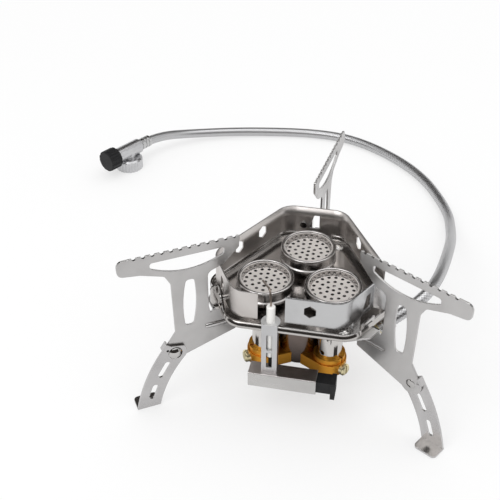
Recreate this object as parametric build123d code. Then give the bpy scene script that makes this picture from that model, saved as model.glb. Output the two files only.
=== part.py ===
"""Folding three-head camping stove with pot-support arms, hinged legs, spark igniter and a hose-fed valve.

Millimetres, Z up. The floor is z = 0, the stove's axis passes through the origin and the front faces -Y.
At each of the three corners, local X points outwards from the axis and local Y anticlockwise round it.
"""
import os
from math import atan2, cos, degrees, pi, radians, sin, tan

from build123d import *

# Whole stove
REACH = 110.0              # tip of a pot support, from the axis
HEIGHT = 110.0             # pot-rest edges above the floor
CORNERS = {"rear": 90.0, "left": 210.0, "right": 330.0}
OPEN_PAST = 3.0            # an arm opens this far past radial, onto its stop
REST_SWING = {"rear": -10.5, "left": 0.0, "right": -3.4}  # how each arm stands against its stop

# Fits
RUN_FIT = 0.05             # radial room round a pin that something turns on
SLIDE_GAP = 0.3            # room between sheets or blocks that move past each other

# Pot-support arms
ARM_SHEET = 1.2
TIP_IN = 39.0              # inner end of the pot rest
STEM_IN = 58.3             # stem's inner edge
STEM_WIDE = 21.1
BAR_TIP = 10.0             # depth of the pot rest at its outer end
BAR_ROOT = 16.5            # depth of the pot rest where the stem begins
BAR_BEND = 17.5            # from the stem out to the bend in the pot rest's lower edge
TONGUE_IN = 42.0
TONGUE_LOW = 43.8
TONGUE_TOP = 54.2
NOTCHES = 11
NOTCH_R = 1.1
OVAL_WIDE, OVAL_END, OVAL_ROUND = 7.8, 4.8, 2.0
OVAL_LEAN = 2.5
OVAL_OVER = 17.6           # from the leg pivot up to the oval
OVAL_UNDER = 22.4          # from the pot-rest edge down to the oval
RIB_Z = 50.6
RIB_WIDE = 2.6
RIB_RISE = 0.6
TAB_WIDE = 6.5             # where the pivot tab is bent off the tongue
TAB_CLEAR = 2.3            # from the tab to the stem
PIVOT_R, PIVOT_T = 43.5, -15.8  # arm pivot, outwards and anticlockwise
PIVOT_PIN_R = 2.0
PIVOT_EYE_R = 5.5

# Legs
LEG_OUT = 0.7              # leg pivot, outwards from the stem
LEG_Z = 37.4
LEG_PIN_R = 1.9
LUG_R = 7.0                # arm's lug round the leg pivot
SHOULDER_TURN = 33.5       # direction of the lug's sloping shoulder
SHOULDER_RUN = 12.5
DIMPLE_R, DIMPLE_DEEP = 1.6, 0.6
LEG_HEAD_R, LEG_HEAD_RISE = 4.2, 2.0
LEG_EYE_R = 7.0
EYE_FROM, EYE_SPAN = 143.0, 64.0  # part of the leg's edge that is round about its pivot, in degrees
LEG_BOW = 2.4              # how far the leg's edges curve outwards
FOOT_OUT = 11.1            # from the leg pivot out to the foot
FOOT_WIDE, FOOT_DEEP = 14.2, 10.0
LEG_SLOT = 3.4
LEG_SLOTS = ((0.15, 0.41), (0.545, 0.83))  # ends of the slots, as shares of the way up the leg
STOP_LOW, STOP_TOP = -1.5, 3.5  # ends of the stop tab, along the lug's shoulder
STOP_ROOT = 5.0            # inner end of the tab's root, from the leg pivot

# Base plate
PLATE_Z = 63.0             # underside
PLATE_SHEET = 1.0
PLATE_LONG, PLATE_BLUNT, PLATE_ROUND = 43.0, 52.0, 13.0
LIP_TALL = 5.0
CORNER_LIP_TALL = 8.0
EAR_TOP = 80.0
EAR_REACH = 4.6
EAR_WIDE = 10.0

# Windshield
SHIELD_SHEET = 0.7
SHIELD_LOW, SHIELD_TOP = 69.5, 87.5
SHIELD_LONG, SHIELD_ROUND = 40.5, 12.0
SHIELD_BLUNT = {"rear": 49.3, "left": 48.5, "right": 46.0}  # walls across the corners
FRONT_GAP = (-18.6, -3.3)  # opening for the spark electrode
CORNER_GAP = (7.0, 22.0)   # opening beside the right-hand arm
FLAP_TURN = 22.0           # how the front wall's end is bent out, from radial
FLAP_LONG, FLAP_CUT = 8.0, 7.0
VENT_WIDE, VENT_TALL, VENT_APART, VENT_RISE = 6.6, 8.4, 21.0, 0.8
WINDOW_LOW, WINDOW_TOP = 72.4, 82.0
WINDOW_WIDE, WINDOW_SLANT = 6.8, 2.9
PINNED = ("rear", "left")  # corners whose ear carries a windshield pin
SHIELD_PIN_R = 1.3
SHIELD_PIN_T, SHIELD_PIN_Z = 7.0, 74.5
SHIELD_FOOT_T, SHIELD_FOOT_WIDE, SHIELD_FOOT_DEEP = -8.0, 6.0, 5.0
SHIELD_RIVET_R = 1.5

# Burner heads and gas way
BURNER_R = 22.8            # burner axes, from the stove's axis
CUP_R = 16.2
CUP_WALL = 0.9
RIM_Z, RIM_R = 77.5, 0.9
DISC_Z = 72.6
DISC_SHEET = 0.8
HOLE_R = 1.0
HOLE_PITCH = 3.9
PAN_LOW_R, PAN_TOP_R = 13.2, 14.0  # inside of the pan's wall
PAN_SHEET = 0.6
PAN_ROWS = ((75.4, 0.75, 0.0), (74.2, 0.5, 0.5))  # wall holes: height, radius, stagger
PAN_HOLES = 26
TUBE_R = 7.5
TUBE_WALL = 0.8
TUBE_LOW = 23.0
CHAMBER_GAP = 1.3          # between the chamber and the tubes
CHAMBER_WALL = 1.0
CHAMBER_LOW = 14.5
BLOCK_LOW, BLOCK_TOP = 15.0, 23.5
BLOCK_HALF = 10.5
COLLAR_R, COLLAR_TOP = 9.6, 27.0
SCREW_Z = 19.0
SCREW_R = 2.0
SCREW_HEAD_R, SCREW_HEAD_TALL = 3.8, 3.4
JET_R = 2.4

# Igniter
CASE_X = (-22.9, 16.5)
CASE_Y = (-47.0, -36.4)
CASE_Z = (24.0, 34.0)
CASE_SHEET = 0.8
BUTTON_TRAVEL = 5.0
BUTTON_END = 27.5
BUTTON_CAP = 2.6
PIEZO_LONG = 20.0
BRACKET_X = -11.2
BRACKET_WIDE = 9.0
BRACKET_SHEET = 1.0
BRACKET_FLANGE = 4.0
BRACKET_SLOT = 3.4
RING_WIDE = 11.0
CERAMIC_R = 2.5
CERAMIC_LOW, CERAMIC_TOP = 44.0, 80.0
WIRE_R = 0.6
LEAD_R = 1.0
SPARK_BEND = (-12.4, -37.0, 89.0)
SPARK_TIP = (-18.8, -24.0, 84.0)

# Hose, its fittings and the valve at its far end
HOSE_R = 3.7
HOSE_LEAD = 22.8           # first straight run of the hose
PIPE_R = 2.4
PIPE_Z = 34.5
PIPE_TURN = -3.0           # direction in which the inlet leaves the chamber
PIPE_REACH = 40.0
FITTING_TURN, FITTING_RISE = 30.0, 25.0
NUT_FLATS, NUT_FROM, NUT_LONG = 9.0, 1.5, 7.5
FERRULE_R, FERRULE_LONG = 4.7, 9.5
VALVE_Z = 15.0
BARREL_R, BARREL_LONG = 6.0, 26.0
SOCKET_R, SOCKET_TALL = 11.0, 9.6
THREAD_R, THREAD_DEEP = 5.2, 7.6
SEAL_R, SEAL_LOW, SEAL_TALL, SEAL_WALL = 4.4, 8.0, 1.4, 1.9
SOCKET_FLUTES = 24
SPINDLE_R, SPINDLE_DEEP = 2.2, 8.5
KNOB_R, KNOB_LONG, KNOB_FLUTES = 8.6, 11.0, 12


def corner(name: str) -> Location:
    """Return the place of a corner's local frame."""
    return Rot(0, 0, CORNERS[name])


def arm_place(name: str) -> Location:
    """Return the place of an arm as it stands, turned about its pivot."""
    turn = OPEN_PAST + REST_SWING[name]
    return corner(name) * Pos(PIVOT_R, PIVOT_T, 0) * Rot(0, 0, turn) * Pos(-PIVOT_R, -PIVOT_T, 0)


def upright(face: Sketch, y_low: float, y_high: float) -> Part:
    """Give an outline drawn in (x, z) the thickness between two y values."""
    return extrude(Plane.XZ.offset(-y_high) * face, amount=y_high - y_low)


def flat(face: Sketch, z_low: float, z_high: float) -> Part:
    """Give an outline drawn in (x, y) the thickness between two heights."""
    return extrude(Pos(0, 0, z_low) * face, amount=z_high - z_low)


def block(x: tuple, y: tuple, z: tuple) -> Part:
    """Return a box between pairs of limits."""
    size = (x[1] - x[0], y[1] - y[0], z[1] - z[0])
    return Pos((x[0] + x[1]) / 2, (y[0] + y[1]) / 2, (z[0] + z[1]) / 2) * Box(*size)


def pin(radius: float, z_low: float, z_high: float) -> Part:
    """Return an upright cylinder between two heights."""
    return Pos(0, 0, (z_low + z_high) / 2) * Cylinder(radius, z_high - z_low)


def outline(*points: tuple) -> Sketch:
    """Return the flat shape inside a closed run of points."""
    return make_face(Polyline(*points, close=True))


def lathe(points: list) -> Part:
    """Revolve a closed outline of (radius, height) points about Z."""
    return revolve(Plane.XZ * outline(*points), Axis.Z)


def rounded(face: Sketch, corners: list) -> Sketch:
    """Round chosen corners of an outline, each given as (x, y, radius)."""
    for x, y, radius in corners:
        face = fillet(face.vertices().sort_by_distance((x, y, 0))[0], radius)
    return face


def three_sided(long_side: float, blunt_sides: dict, radius: float) -> Sketch:
    """Return a triangle with blunt, rounded corners facing the three arms."""
    points = []
    for name, turn in CORNERS.items():
        half = (long_side - blunt_sides[name] * cos(radians(60))) / sin(radians(60))
        for side in (-half, half):
            place = Vector(blunt_sides[name], side).rotate(Axis.Z, turn)
            points.append((place.X, place.Y))
    return fillet(outline(*points).vertices(), radius)


def dome(radius: float, rise: float) -> Part:
    """Return a shallow dome standing on z = 0."""
    ball = (radius**2 + rise**2) / (2 * rise)
    return Pos(0, 0, rise - ball) * Sphere(ball) & pin(radius + 1, 0, rise + 1)


# Arms and legs

STEM_OUT = STEM_IN + STEM_WIDE
TAB_OUT = STEM_IN - TAB_CLEAR
TAB_IN = TAB_OUT - TAB_WIDE
LEG_R = STEM_OUT + LEG_OUT
FOOT_IN = LEG_R + FOOT_OUT
OVAL_LOW, OVAL_HIGH = LEG_Z + OVAL_OVER, HEIGHT - OVAL_UNDER
TAB_TOP = PLATE_Z - SLIDE_GAP
PIVOT_TAIL_TOP = TAB_TOP - ARM_SHEET - SLIDE_GAP
ARM_FACE = ARM_SHEET / 2
LEG_NEAR = ARM_FACE + SLIDE_GAP
LEG_FAR = LEG_NEAR + ARM_SHEET
SHOULDER_OUT = Vector(cos(radians(SHOULDER_TURN)), sin(radians(SHOULDER_TURN)))
SHOULDER_UP = Vector(-sin(radians(SHOULDER_TURN)), cos(radians(SHOULDER_TURN)))
LEG_PIVOT = Vector(LEG_R, LEG_Z)
STOP_IN = LUG_R + SLIDE_GAP
STOP_OUT = STOP_IN + ARM_SHEET


def shoulder(out: float, up: float) -> tuple:
    """Return an (x, z) point measured from the leg pivot across and along the lug's shoulder."""
    place = LEG_PIVOT + SHOULDER_OUT * out + SHOULDER_UP * up
    return place.X, place.Y


def arm_outline() -> Sketch:
    """Draw one arm in (x, z): pot rest above, stem, tongue towards the base plate and leg lug."""
    bar_low = (STEM_OUT + 4.0, HEIGHT - BAR_ROOT)
    stem_top = (STEM_OUT + 0.6, HEIGHT - BAR_ROOT - 6.5)
    inner_low = (STEM_IN - 9.6, HEIGHT - BAR_ROOT - 0.4)
    inner_top = (STEM_IN, HEIGHT - BAR_ROOT - 4.0)
    relief = TAB_TOP - 2.2
    inner_tip = (TIP_IN + 0.6, HEIGHT - 0.75 * BAR_TIP)
    outer_tip = (REACH - 2.0, HEIGHT - BAR_TIP)
    bar_bend = (STEM_OUT + BAR_BEND, HEIGHT - BAR_TIP - 2.0)
    face = outline(
        (TIP_IN, HEIGHT), (REACH, HEIGHT), outer_tip, bar_bend, bar_low, stem_top,
        shoulder(LUG_R, SHOULDER_RUN), shoulder(LUG_R, 0), (LEG_R - 5.4, LEG_Z - 4.4),
        (TONGUE_IN, TONGUE_LOW), (TONGUE_IN, TONGUE_TOP), (TAB_IN - 1.0, TONGUE_TOP + 0.6),
        (TAB_IN, TAB_TOP), (TAB_OUT, TAB_TOP), (TAB_OUT + 0.5, relief), (TAB_OUT + 1.4, relief),
        (STEM_IN, TAB_TOP + 2.4), inner_top, inner_low, inner_tip)
    face = rounded(face, [(REACH, HEIGHT, 2.5), (*outer_tip, 2.5), (*bar_low, 3.0), (*stem_top, 4.0),
                          (*inner_top, 4.0), (TONGUE_IN, TONGUE_TOP, 2.0), (*inner_tip, 1.5)])
    return face + Pos(LEG_R, LEG_Z) * Circle(LUG_R)


def arm_windows() -> Sketch:
    """Draw the crescent under the pot rest, the stem's oval and the pivot hole."""
    cut_top = HEIGHT - 6.4
    middle = (STEM_IN + STEM_OUT) / 2 + 0.6
    half = (REACH - TIP_IN) * 0.295
    arc = ThreePointArc((middle - half, cut_top), (middle, cut_top - 8.6), (middle + half, cut_top))
    crescent = make_face(Line((middle + half, cut_top), (middle - half, cut_top)) + arc)
    tall, end = (OVAL_HIGH - OVAL_LOW) / 2, OVAL_END / 2
    side = ThreePointArc((end, -tall), (OVAL_WIDE / 2, 0), (end, tall))
    ends = Line((end, tall), (-end, tall)) + Line((end, -tall), (-end, -tall))
    oval = make_face(side + side.mirror(Plane.YZ) + ends)
    oval = Rot(0, 0, OVAL_LEAN) * fillet(oval.vertices(), OVAL_ROUND)
    oval = Pos(middle, (OVAL_LOW + OVAL_HIGH) / 2) * oval
    return crescent + oval + Pos(LEG_R, LEG_Z) * Circle(LEG_PIN_R)


def arm_body() -> Part:
    """Build one stamped arm in its corner frame, with the tab that its pivot passes through."""
    first, last = TIP_IN + 5.0, REACH - 8.0
    pitch = (last - first) / (NOTCHES - 1)
    notches = [Pos(first + pitch * i, HEIGHT) * Circle(NOTCH_R) for i in range(NOTCHES)]
    sheet = upright(arm_outline() - arm_windows() - notches, -ARM_FACE, ARM_FACE)
    rib_long = STEM_IN - TONGUE_IN - 1.5
    rib_place = Pos(TONGUE_IN + 2.2 + rib_long / 2, RIB_Z)
    sheet += upright(rib_place * SlotOverall(rib_long, RIB_WIDE), ARM_FACE, ARM_FACE + RIB_RISE / 2)
    sheet -= upright(rib_place * SlotOverall(rib_long - 1.0, RIB_WIDE - 1.0), -ARM_FACE, -ARM_FACE + RIB_RISE)
    dimple = shoulder(LUG_R - DIMPLE_R, 0)
    sheet -= Pos(dimple[0], DIMPLE_DEEP - ARM_FACE - DIMPLE_R, dimple[1]) * Sphere(DIMPLE_R)
    eye = Pos(PIVOT_R, PIVOT_T) * Circle(PIVOT_EYE_R)
    tab = outline((TAB_IN, ARM_FACE), (TAB_OUT, ARM_FACE), (TAB_OUT, PIVOT_T * 0.55),
                  (PIVOT_R + 3.6, PIVOT_T - 4.1), (PIVOT_R - 3.5, PIVOT_T + 4.2), (TAB_IN, PIVOT_T * 0.4))
    tab = tab + eye - Pos(PIVOT_R, PIVOT_T) * Circle(PIVOT_PIN_R + RUN_FIT)
    return sheet + flat(tab, TAB_TOP - ARM_SHEET, TAB_TOP)


def bowed(low: Vector, top: Vector) -> Edge:
    """Return the edge between two (x, z) points of a leg, curved outwards."""
    run = top - low
    middle = (low + top) / 2 + Vector(run.Y, -run.X).normalized() * LEG_BOW
    return ThreePointArc(low, middle, top)


def leg_strip() -> Sketch:
    """Draw one leg in (x, z): a bowed strip with two slots along it, cropped above its pivot."""
    eye = CenterArc((LEG_R, LEG_Z), LEG_EYE_R, EYE_FROM, EYE_SPAN)
    stop = Polyline(shoulder(STOP_OUT, STOP_LOW), shoulder(STOP_OUT, STOP_TOP), shoulder(STOP_ROOT, STOP_TOP),
                    eye @ 0)
    inner = bowed(Vector(FOOT_IN, 0), eye @ 1)
    outer = bowed(Vector(FOOT_IN + FOOT_WIDE, 0), stop @ 0)
    strip = make_face(outer + stop + eye + inner + Line(inner @ 0, outer @ 0))
    axis = bowed(Vector(FOOT_IN + FOOT_WIDE / 2, 0), LEG_PIVOT)
    for low, high in LEG_SLOTS:
        place, way = axis @ ((low + high) / 2), axis % ((low + high) / 2)
        slot = SlotOverall(axis.length * (high - low), LEG_SLOT, rotation=degrees(atan2(way.Y, way.X)))
        strip -= Pos(place.X, place.Y) * slot
    strip -= Pos(*shoulder(LUG_R - DIMPLE_R, 0)) * Circle(DIMPLE_R / 2)
    return strip - Pos(LEG_R, LEG_Z) * Circle(LEG_PIN_R + RUN_FIT)


def leg_body() -> Part:
    """Build one leg in its corner frame: slotted strip, bent foot and the tab that stops at the shoulder."""
    leg = upright(leg_strip(), LEG_NEAR, LEG_FAR)
    leg += block((FOOT_IN, FOOT_IN + FOOT_WIDE), (LEG_FAR - FOOT_DEEP, LEG_FAR), (0, ARM_SHEET))
    toe = leg.edges().filter_by(Axis.Z).sort_by(Axis.Y)[:2]
    leg = fillet(toe, 2.5)
    tab = outline(shoulder(STOP_IN, STOP_LOW), shoulder(STOP_OUT, STOP_LOW), shoulder(STOP_OUT, STOP_TOP),
                  shoulder(STOP_IN, STOP_TOP))
    return leg + upright(tab, -ARM_FACE - 1.4, LEG_FAR)


def leg_rivet() -> Part:
    """Build the rivet that fixes a leg to its arm: a high dome over the leg, a low one behind the arm."""
    under_head = LEG_FAR + SLIDE_GAP
    rivet = pin(LEG_PIN_R, -ARM_FACE, under_head) + Pos(0, 0, under_head) * dome(LEG_HEAD_R, LEG_HEAD_RISE)
    rivet += Pos(0, 0, -ARM_FACE) * Rot(180, 0, 0) * dome(LEG_PIN_R + 1.1, 0.8)
    return Pos(LEG_R, 0, LEG_Z) * Rot(-90, 0, 0) * rivet


def arm_pivot() -> Part:
    """Build the rivet that an arm swings on, domed on top of the base plate."""
    top, tail = PLATE_Z + PLATE_SHEET, PIVOT_TAIL_TOP - 1.0
    rivet = pin(PIVOT_PIN_R, tail, top) + pin(PIVOT_PIN_R + 1.3, tail, PIVOT_TAIL_TOP)
    return Pos(PIVOT_R, PIVOT_T, 0) * (rivet + Pos(0, 0, top) * dome(PIVOT_PIN_R + 1.6, 1.8))


# Base plate and windshield

PLATE_TOP = PLATE_Z + PLATE_SHEET
NOTCH_HALF = CERAMIC_R + 1.2


def every(side: float) -> dict:
    """Give the three corners the same size."""
    return {name: side for name in CORNERS}


def rivet_place(name: str) -> Location:
    """Return the place of the rivet in a windshield foot, on the plate's underside."""
    inwards = SHIELD_BLUNT[name] - SHIELD_SHEET - SHIELD_FOOT_DEEP / 2
    return corner(name) * Pos(inwards, SHIELD_FOOT_T, 0)


def lip_run() -> Part:
    """Build the taller, slotted run of the lip beside an arm."""
    inner = PLATE_BLUNT - PLATE_SHEET
    run = block((inner, PLATE_BLUNT), (-EAR_WIDE - 2, 0), (PLATE_Z, PLATE_Z + CORNER_LIP_TALL))
    slot = Pos(-EAR_WIDE / 2 - 1, PLATE_TOP + CORNER_LIP_TALL / 2 - 0.4) * SlotOverall(EAR_WIDE - 1.5, 3.2)
    return run - extrude(Plane.YZ.offset(inner - 1) * slot, amount=PLATE_SHEET + 2)


def lip_ear() -> Part:
    """Build the ear behind the windshield at one corner, with its cheek beside the arm."""
    inner = PLATE_BLUNT - PLATE_SHEET
    low, high = LEG_NEAR + 1.0, LEG_NEAR + 1.0 + EAR_WIDE
    rising = outline((low, PLATE_Z), (high, PLATE_Z), (high, PLATE_Z + LIP_TALL + 1), (low + 3.6, EAR_TOP),
                     (low, EAR_TOP))
    rising -= Pos(SHIELD_PIN_T, SHIELD_PIN_Z) * Circle(SHIELD_PIN_R)
    ear = extrude(Plane.YZ.offset(inner) * rising, amount=PLATE_SHEET)
    cheek = outline((inner, PLATE_Z), (PLATE_BLUNT + 1.5, PLATE_Z), (PLATE_BLUNT + EAR_REACH, PLATE_Z + 6),
                    (PLATE_BLUNT + EAR_REACH, EAR_TOP), (inner, EAR_TOP))
    cheek = rounded(cheek, [(PLATE_BLUNT + EAR_REACH, EAR_TOP, 2.5)])
    return ear + upright(cheek, low, low + PLATE_SHEET)


def base_plate() -> Part:
    """Build the pressed tray under the burners, with its turned-up lip and three corner ears."""
    plan = three_sided(PLATE_LONG, every(PLATE_BLUNT), PLATE_ROUND)
    thin = PLATE_SHEET
    inside = three_sided(PLATE_LONG - thin, every(PLATE_BLUNT - thin), PLATE_ROUND - thin)
    tray = flat(plan, PLATE_Z, PLATE_Z + LIP_TALL)
    tray = fillet(tray.faces().sort_by(Axis.Z)[0].edges(), 0.9 * PLATE_SHEET)
    tray -= flat(inside, PLATE_TOP, PLATE_Z + LIP_TALL)
    for name in CORNERS:
        tray += corner(name) * lip_run()
        if name in PINNED:
            tray += corner(name) * lip_ear()
        for x, y, radius in ((BURNER_R, 0, TUBE_R), (PIVOT_R, PIVOT_T, PIVOT_PIN_R)):
            tray -= corner(name) * Pos(x, y, PLATE_Z) * Cylinder(radius, 4 * PLATE_SHEET)
        tray -= rivet_place(name) * Pos(0, 0, PLATE_Z) * Cylinder(SHIELD_RIVET_R, 4 * PLATE_SHEET)
    across = (BRACKET_X - NOTCH_HALF, BRACKET_X + NOTCH_HALF)
    reach = (-PLATE_LONG - 1, -PLATE_LONG + BRACKET_SHEET + 2 * CERAMIC_R + 1.0)
    return tray - block(across, reach, (PLATE_Z - 1, PLATE_Z + 2 * LIP_TALL))


def shield_ring() -> Part:
    """Return the windshield's closed wall."""
    thin = SHIELD_SHEET
    outer = three_sided(SHIELD_LONG, SHIELD_BLUNT, SHIELD_ROUND)
    blunt_sides = {name: side - thin for name, side in SHIELD_BLUNT.items()}
    inner = three_sided(SHIELD_LONG - thin, blunt_sides, SHIELD_ROUND - thin)
    return flat(outer - inner, SHIELD_LOW, SHIELD_TOP)


def shield_foot(name: str) -> Part:
    """Build the bent foot that stands on the plate at one corner, in the corner's frame."""
    outer = SHIELD_BLUNT[name]
    inner = outer - SHIELD_SHEET
    side = (SHIELD_FOOT_T - SHIELD_FOOT_WIDE / 2, SHIELD_FOOT_T + SHIELD_FOOT_WIDE / 2)
    foot = block((inner, outer), side, (PLATE_TOP, SHIELD_LOW + 1))
    return foot + block((inner - SHIELD_FOOT_DEEP, outer), side, (PLATE_TOP, PLATE_TOP + SHIELD_SHEET))


def shield_cuts(name: str) -> Part:
    """Build the cuts through the wall across one corner: the slanted window and the pin's hole."""
    lean = 1 if name in PINNED else -1
    side = lean * WINDOW_WIDE / 2
    window = outline((-side, WINDOW_LOW), (side, WINDOW_LOW), (side - lean * WINDOW_SLANT, WINDOW_TOP),
                     (-side, WINDOW_TOP))
    window = fillet(window.vertices(), 0.8)
    if name in PINNED:
        window += Pos(SHIELD_PIN_T, SHIELD_PIN_Z) * Circle(SHIELD_PIN_R)
    return extrude(Plane.YZ.offset(SHIELD_BLUNT[name]) * window, amount=4 * SHIELD_SHEET, both=True)


def shield_flap() -> Part:
    """Build the end of the front wall that is bent out over the lip, in the right-hand corner's frame."""
    flap = outline((0, SHIELD_LOW), (FLAP_LONG, SHIELD_LOW), (FLAP_LONG, SHIELD_TOP - FLAP_CUT),
                   (0, SHIELD_TOP))
    place = Pos(SHIELD_BLUNT["right"] - SHIELD_SHEET, CORNER_GAP[0], 0) * Rot(0, 0, FLAP_TURN)
    return place * upright(flap, -SHIELD_SHEET, 0)


def windshield() -> tuple:
    """Build the two bent walls round the burners, with vents and feet, the rear one first."""
    wall = shield_ring()
    middle = (SHIELD_LOW + SHIELD_TOP) / 2 + VENT_RISE
    side, slope, tip = VENT_WIDE / 2, VENT_TALL / 4, VENT_TALL / 2
    vent = outline((0, tip), (-side, slope), (-side, -slope), (0, -tip), (side, -slope), (side, slope))
    deep = 4 * SHIELD_SHEET
    for name, turn in CORNERS.items():
        wall += corner(name) * shield_foot(name)
        wall -= corner(name) * shield_cuts(name)
        wall -= rivet_place(name) * Pos(0, 0, PLATE_TOP) * Cylinder(SHIELD_RIVET_R, deep)
        for across in (-VENT_APART / 2, VENT_APART / 2):
            hole = Plane.YZ.offset(SHIELD_LONG) * Pos(across, middle) * vent
            wall -= Rot(0, 0, turn + 180) * extrude(hole, amount=deep, both=True)
    tall = (SHIELD_LOW - 1, SHIELD_TOP + 1)
    wall -= block(FRONT_GAP, (-SHIELD_LONG - deep, -SHIELD_LONG + deep), tall)
    blunt = SHIELD_BLUNT["right"]
    wall -= corner("right") * block((blunt / 2, blunt + deep), CORNER_GAP, tall)
    wall += corner("right") * shield_flap()
    front, rear = wall.solids().sort_by(SortBy.VOLUME)
    return rear, front


def shield_pin(name: str) -> Part:
    """Build the headed pin that ties the windshield to a corner's ear."""
    inner, outer = SHIELD_BLUNT[name] - SHIELD_SHEET, PLATE_BLUNT
    body = pin(SHIELD_PIN_R, inner - 0.8, outer + 0.8)
    body += pin(SHIELD_PIN_R + 1.0, inner - 0.8, inner) + pin(SHIELD_PIN_R + 1.0, outer, outer + 0.8)
    body += pin(SHIELD_PIN_R + 0.6, SHIELD_BLUNT[name], PLATE_BLUNT - PLATE_SHEET)
    return corner(name) * Pos(0, SHIELD_PIN_T, SHIELD_PIN_Z) * Rot(0, 90, 0) * body


def shield_rivet(name: str) -> Part:
    """Build the domed rivet that fastens a windshield foot to the base plate."""
    top = PLATE_TOP + SHIELD_SHEET
    rivet = pin(SHIELD_RIVET_R, PLATE_Z - 0.1, top) + Pos(0, 0, top) * dome(SHIELD_RIVET_R + 0.8, 1.2)
    return rivet_place(name) * rivet


# Burners and gas way

CHAMBER_R = BURNER_R - TUBE_R - CHAMBER_GAP
CUP_FLOOR = PLATE_TOP + 2.2
TUBE_TOP = CUP_FLOOR + 1.0
JET_LOW = SCREW_Z + SCREW_R + 0.4
SCREW_SEAT = BURNER_R + BLOCK_HALF - 0.7


def burner_cup() -> Part:
    """Build one burner's cup on its own axis: neck, cone, wall and rolled rim."""
    inside = CUP_R - CUP_WALL
    cone = CUP_FLOOR + 3.4
    rolled = RIM_Z - RIM_R
    cup = lathe([(TUBE_R, PLATE_TOP), (TUBE_R + 2.4, PLATE_TOP), (TUBE_R + 2.4, CUP_FLOOR),
                 (CUP_R + 0.8, cone - 0.6), (CUP_R + 0.8, cone + 0.6), (CUP_R, cone + 1.2), (CUP_R, rolled),
                 (inside, rolled), (inside, cone + 0.4), (TUBE_R + 1.2, TUBE_TOP), (TUBE_R, TUBE_TOP)])
    return cup + Pos(0, 0, rolled) * Torus((CUP_R + inside) / 2, RIM_R)


def burner_disc() -> Part:
    """Build one burner's perforated disc, a pan with a pierced wall that drops into the cup."""
    seat, top, floor = CUP_R - CUP_WALL, RIM_Z - 0.6, DISC_Z + DISC_SHEET
    pan = lathe([(0, DISC_Z), (seat, DISC_Z), (seat, floor), (PAN_LOW_R + PAN_SHEET, floor),
                 (PAN_TOP_R + PAN_SHEET, top), (PAN_TOP_R, top), (PAN_LOW_R, floor), (0, floor)])
    for height, radius, stagger in PAN_ROWS:
        hole = Pos(PAN_TOP_R, 0, height) * Rot(0, 90, 0) * Cylinder(radius, 5 * PAN_SHEET)
        pan -= [Rot(0, 0, (i + stagger) * 360 / PAN_HOLES) * hole for i in range(PAN_HOLES)]
    holes = [(0.0, 0.0)]
    for ring in (1, 2, 3):
        for step in range(6 * ring):
            turn = radians(step * 60 / ring)
            holes.append((ring * HOLE_PITCH * cos(turn), ring * HOLE_PITCH * sin(turn)))
    return pan - [Pos(x, y, DISC_Z) * Cylinder(HOLE_R, 4 * DISC_SHEET) for x, y in holes]


def mixing_tube() -> Part:
    """Build one tube that carries gas and air up to a burner, with its air holes at the foot."""
    tube = pin(TUBE_R, TUBE_LOW, TUBE_TOP) - pin(TUBE_R - TUBE_WALL, TUBE_LOW, TUBE_TOP)
    for turn in (0, 90):
        tube -= Pos(0, 0, COLLAR_TOP + 3.5) * Rot(90, 0, turn + 45) * Cylinder(1.6, 4 * TUBE_R)
    return tube


def gas_chamber() -> Part:
    """Build the drum on the axis that feeds the three blocks."""
    inner = CHAMBER_R - CHAMBER_WALL
    floor = CHAMBER_LOW + CHAMBER_WALL
    drum = lathe([(0, CHAMBER_LOW), (CHAMBER_R - 1.5, CHAMBER_LOW), (CHAMBER_R, CHAMBER_LOW + 1.5),
                  (CHAMBER_R, PLATE_Z), (inner, PLATE_Z), (inner, floor), (0, floor)])
    holes = [(turn, SCREW_Z, SCREW_R) for turn in CORNERS.values()] + [(PIPE_TURN, PIPE_Z, PIPE_R - 0.8)]
    for turn, height, radius in holes:
        hole = Rot(0, 90, 0) * Cylinder(radius, 4 * CHAMBER_WALL)
        drum -= Rot(0, 0, turn) * Pos(CHAMBER_R, 0, height) * hole
    return drum


def gas_block() -> Part:
    """Build one anodised block: flat-sided, rounded outside, with the collar that grips its tube."""
    plan = Pos(BURNER_R, 0) * Circle(BLOCK_HALF)
    plan += Pos(BURNER_R / 2, 0) * Rectangle(BURNER_R, 2 * BLOCK_HALF)
    body = flat(plan, BLOCK_LOW, BLOCK_TOP)
    body = chamfer(body.edges().group_by(Axis.Z)[0].sort_by(Axis.X)[1:], 0.6)
    body += Pos(BURNER_R, 0, 0) * pin(COLLAR_R, BLOCK_TOP, COLLAR_TOP)
    body -= pin(CHAMBER_R, BLOCK_LOW - 1, COLLAR_TOP + 1)
    body -= Pos(BURNER_R, 0, 0) * pin(TUBE_R, TUBE_LOW, COLLAR_TOP + 1)
    body -= Pos(BURNER_R, 0, 0) * pin(JET_R, JET_LOW, TUBE_LOW + 1)
    body -= block((BURNER_R + TUBE_R - 1, BURNER_R + COLLAR_R + 1), (-0.6, 0.6), (BLOCK_TOP, COLLAR_TOP + 1))
    seat = pin(SCREW_R, 0, SCREW_SEAT + 1) + pin(SCREW_HEAD_R, SCREW_SEAT, SCREW_SEAT + SCREW_HEAD_TALL)
    return body - Pos(0, 0, SCREW_Z) * Rot(0, 90, 0) * seat


def block_screw() -> Part:
    """Build the brass screw that draws a block against the chamber."""
    end = SCREW_SEAT + SCREW_HEAD_TALL
    head = pin(SCREW_HEAD_R, SCREW_SEAT, end)
    head = chamfer(head.edges().sort_by(Axis.Z)[-1], 0.8)
    head -= block((-SCREW_HEAD_R - 1, SCREW_HEAD_R + 1), (-0.5, 0.5), (end - 1, end + 1))
    return Pos(0, 0, SCREW_Z) * Rot(0, 90, 0) * (pin(SCREW_R, CHAMBER_R - CHAMBER_WALL, SCREW_SEAT) + head)


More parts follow.
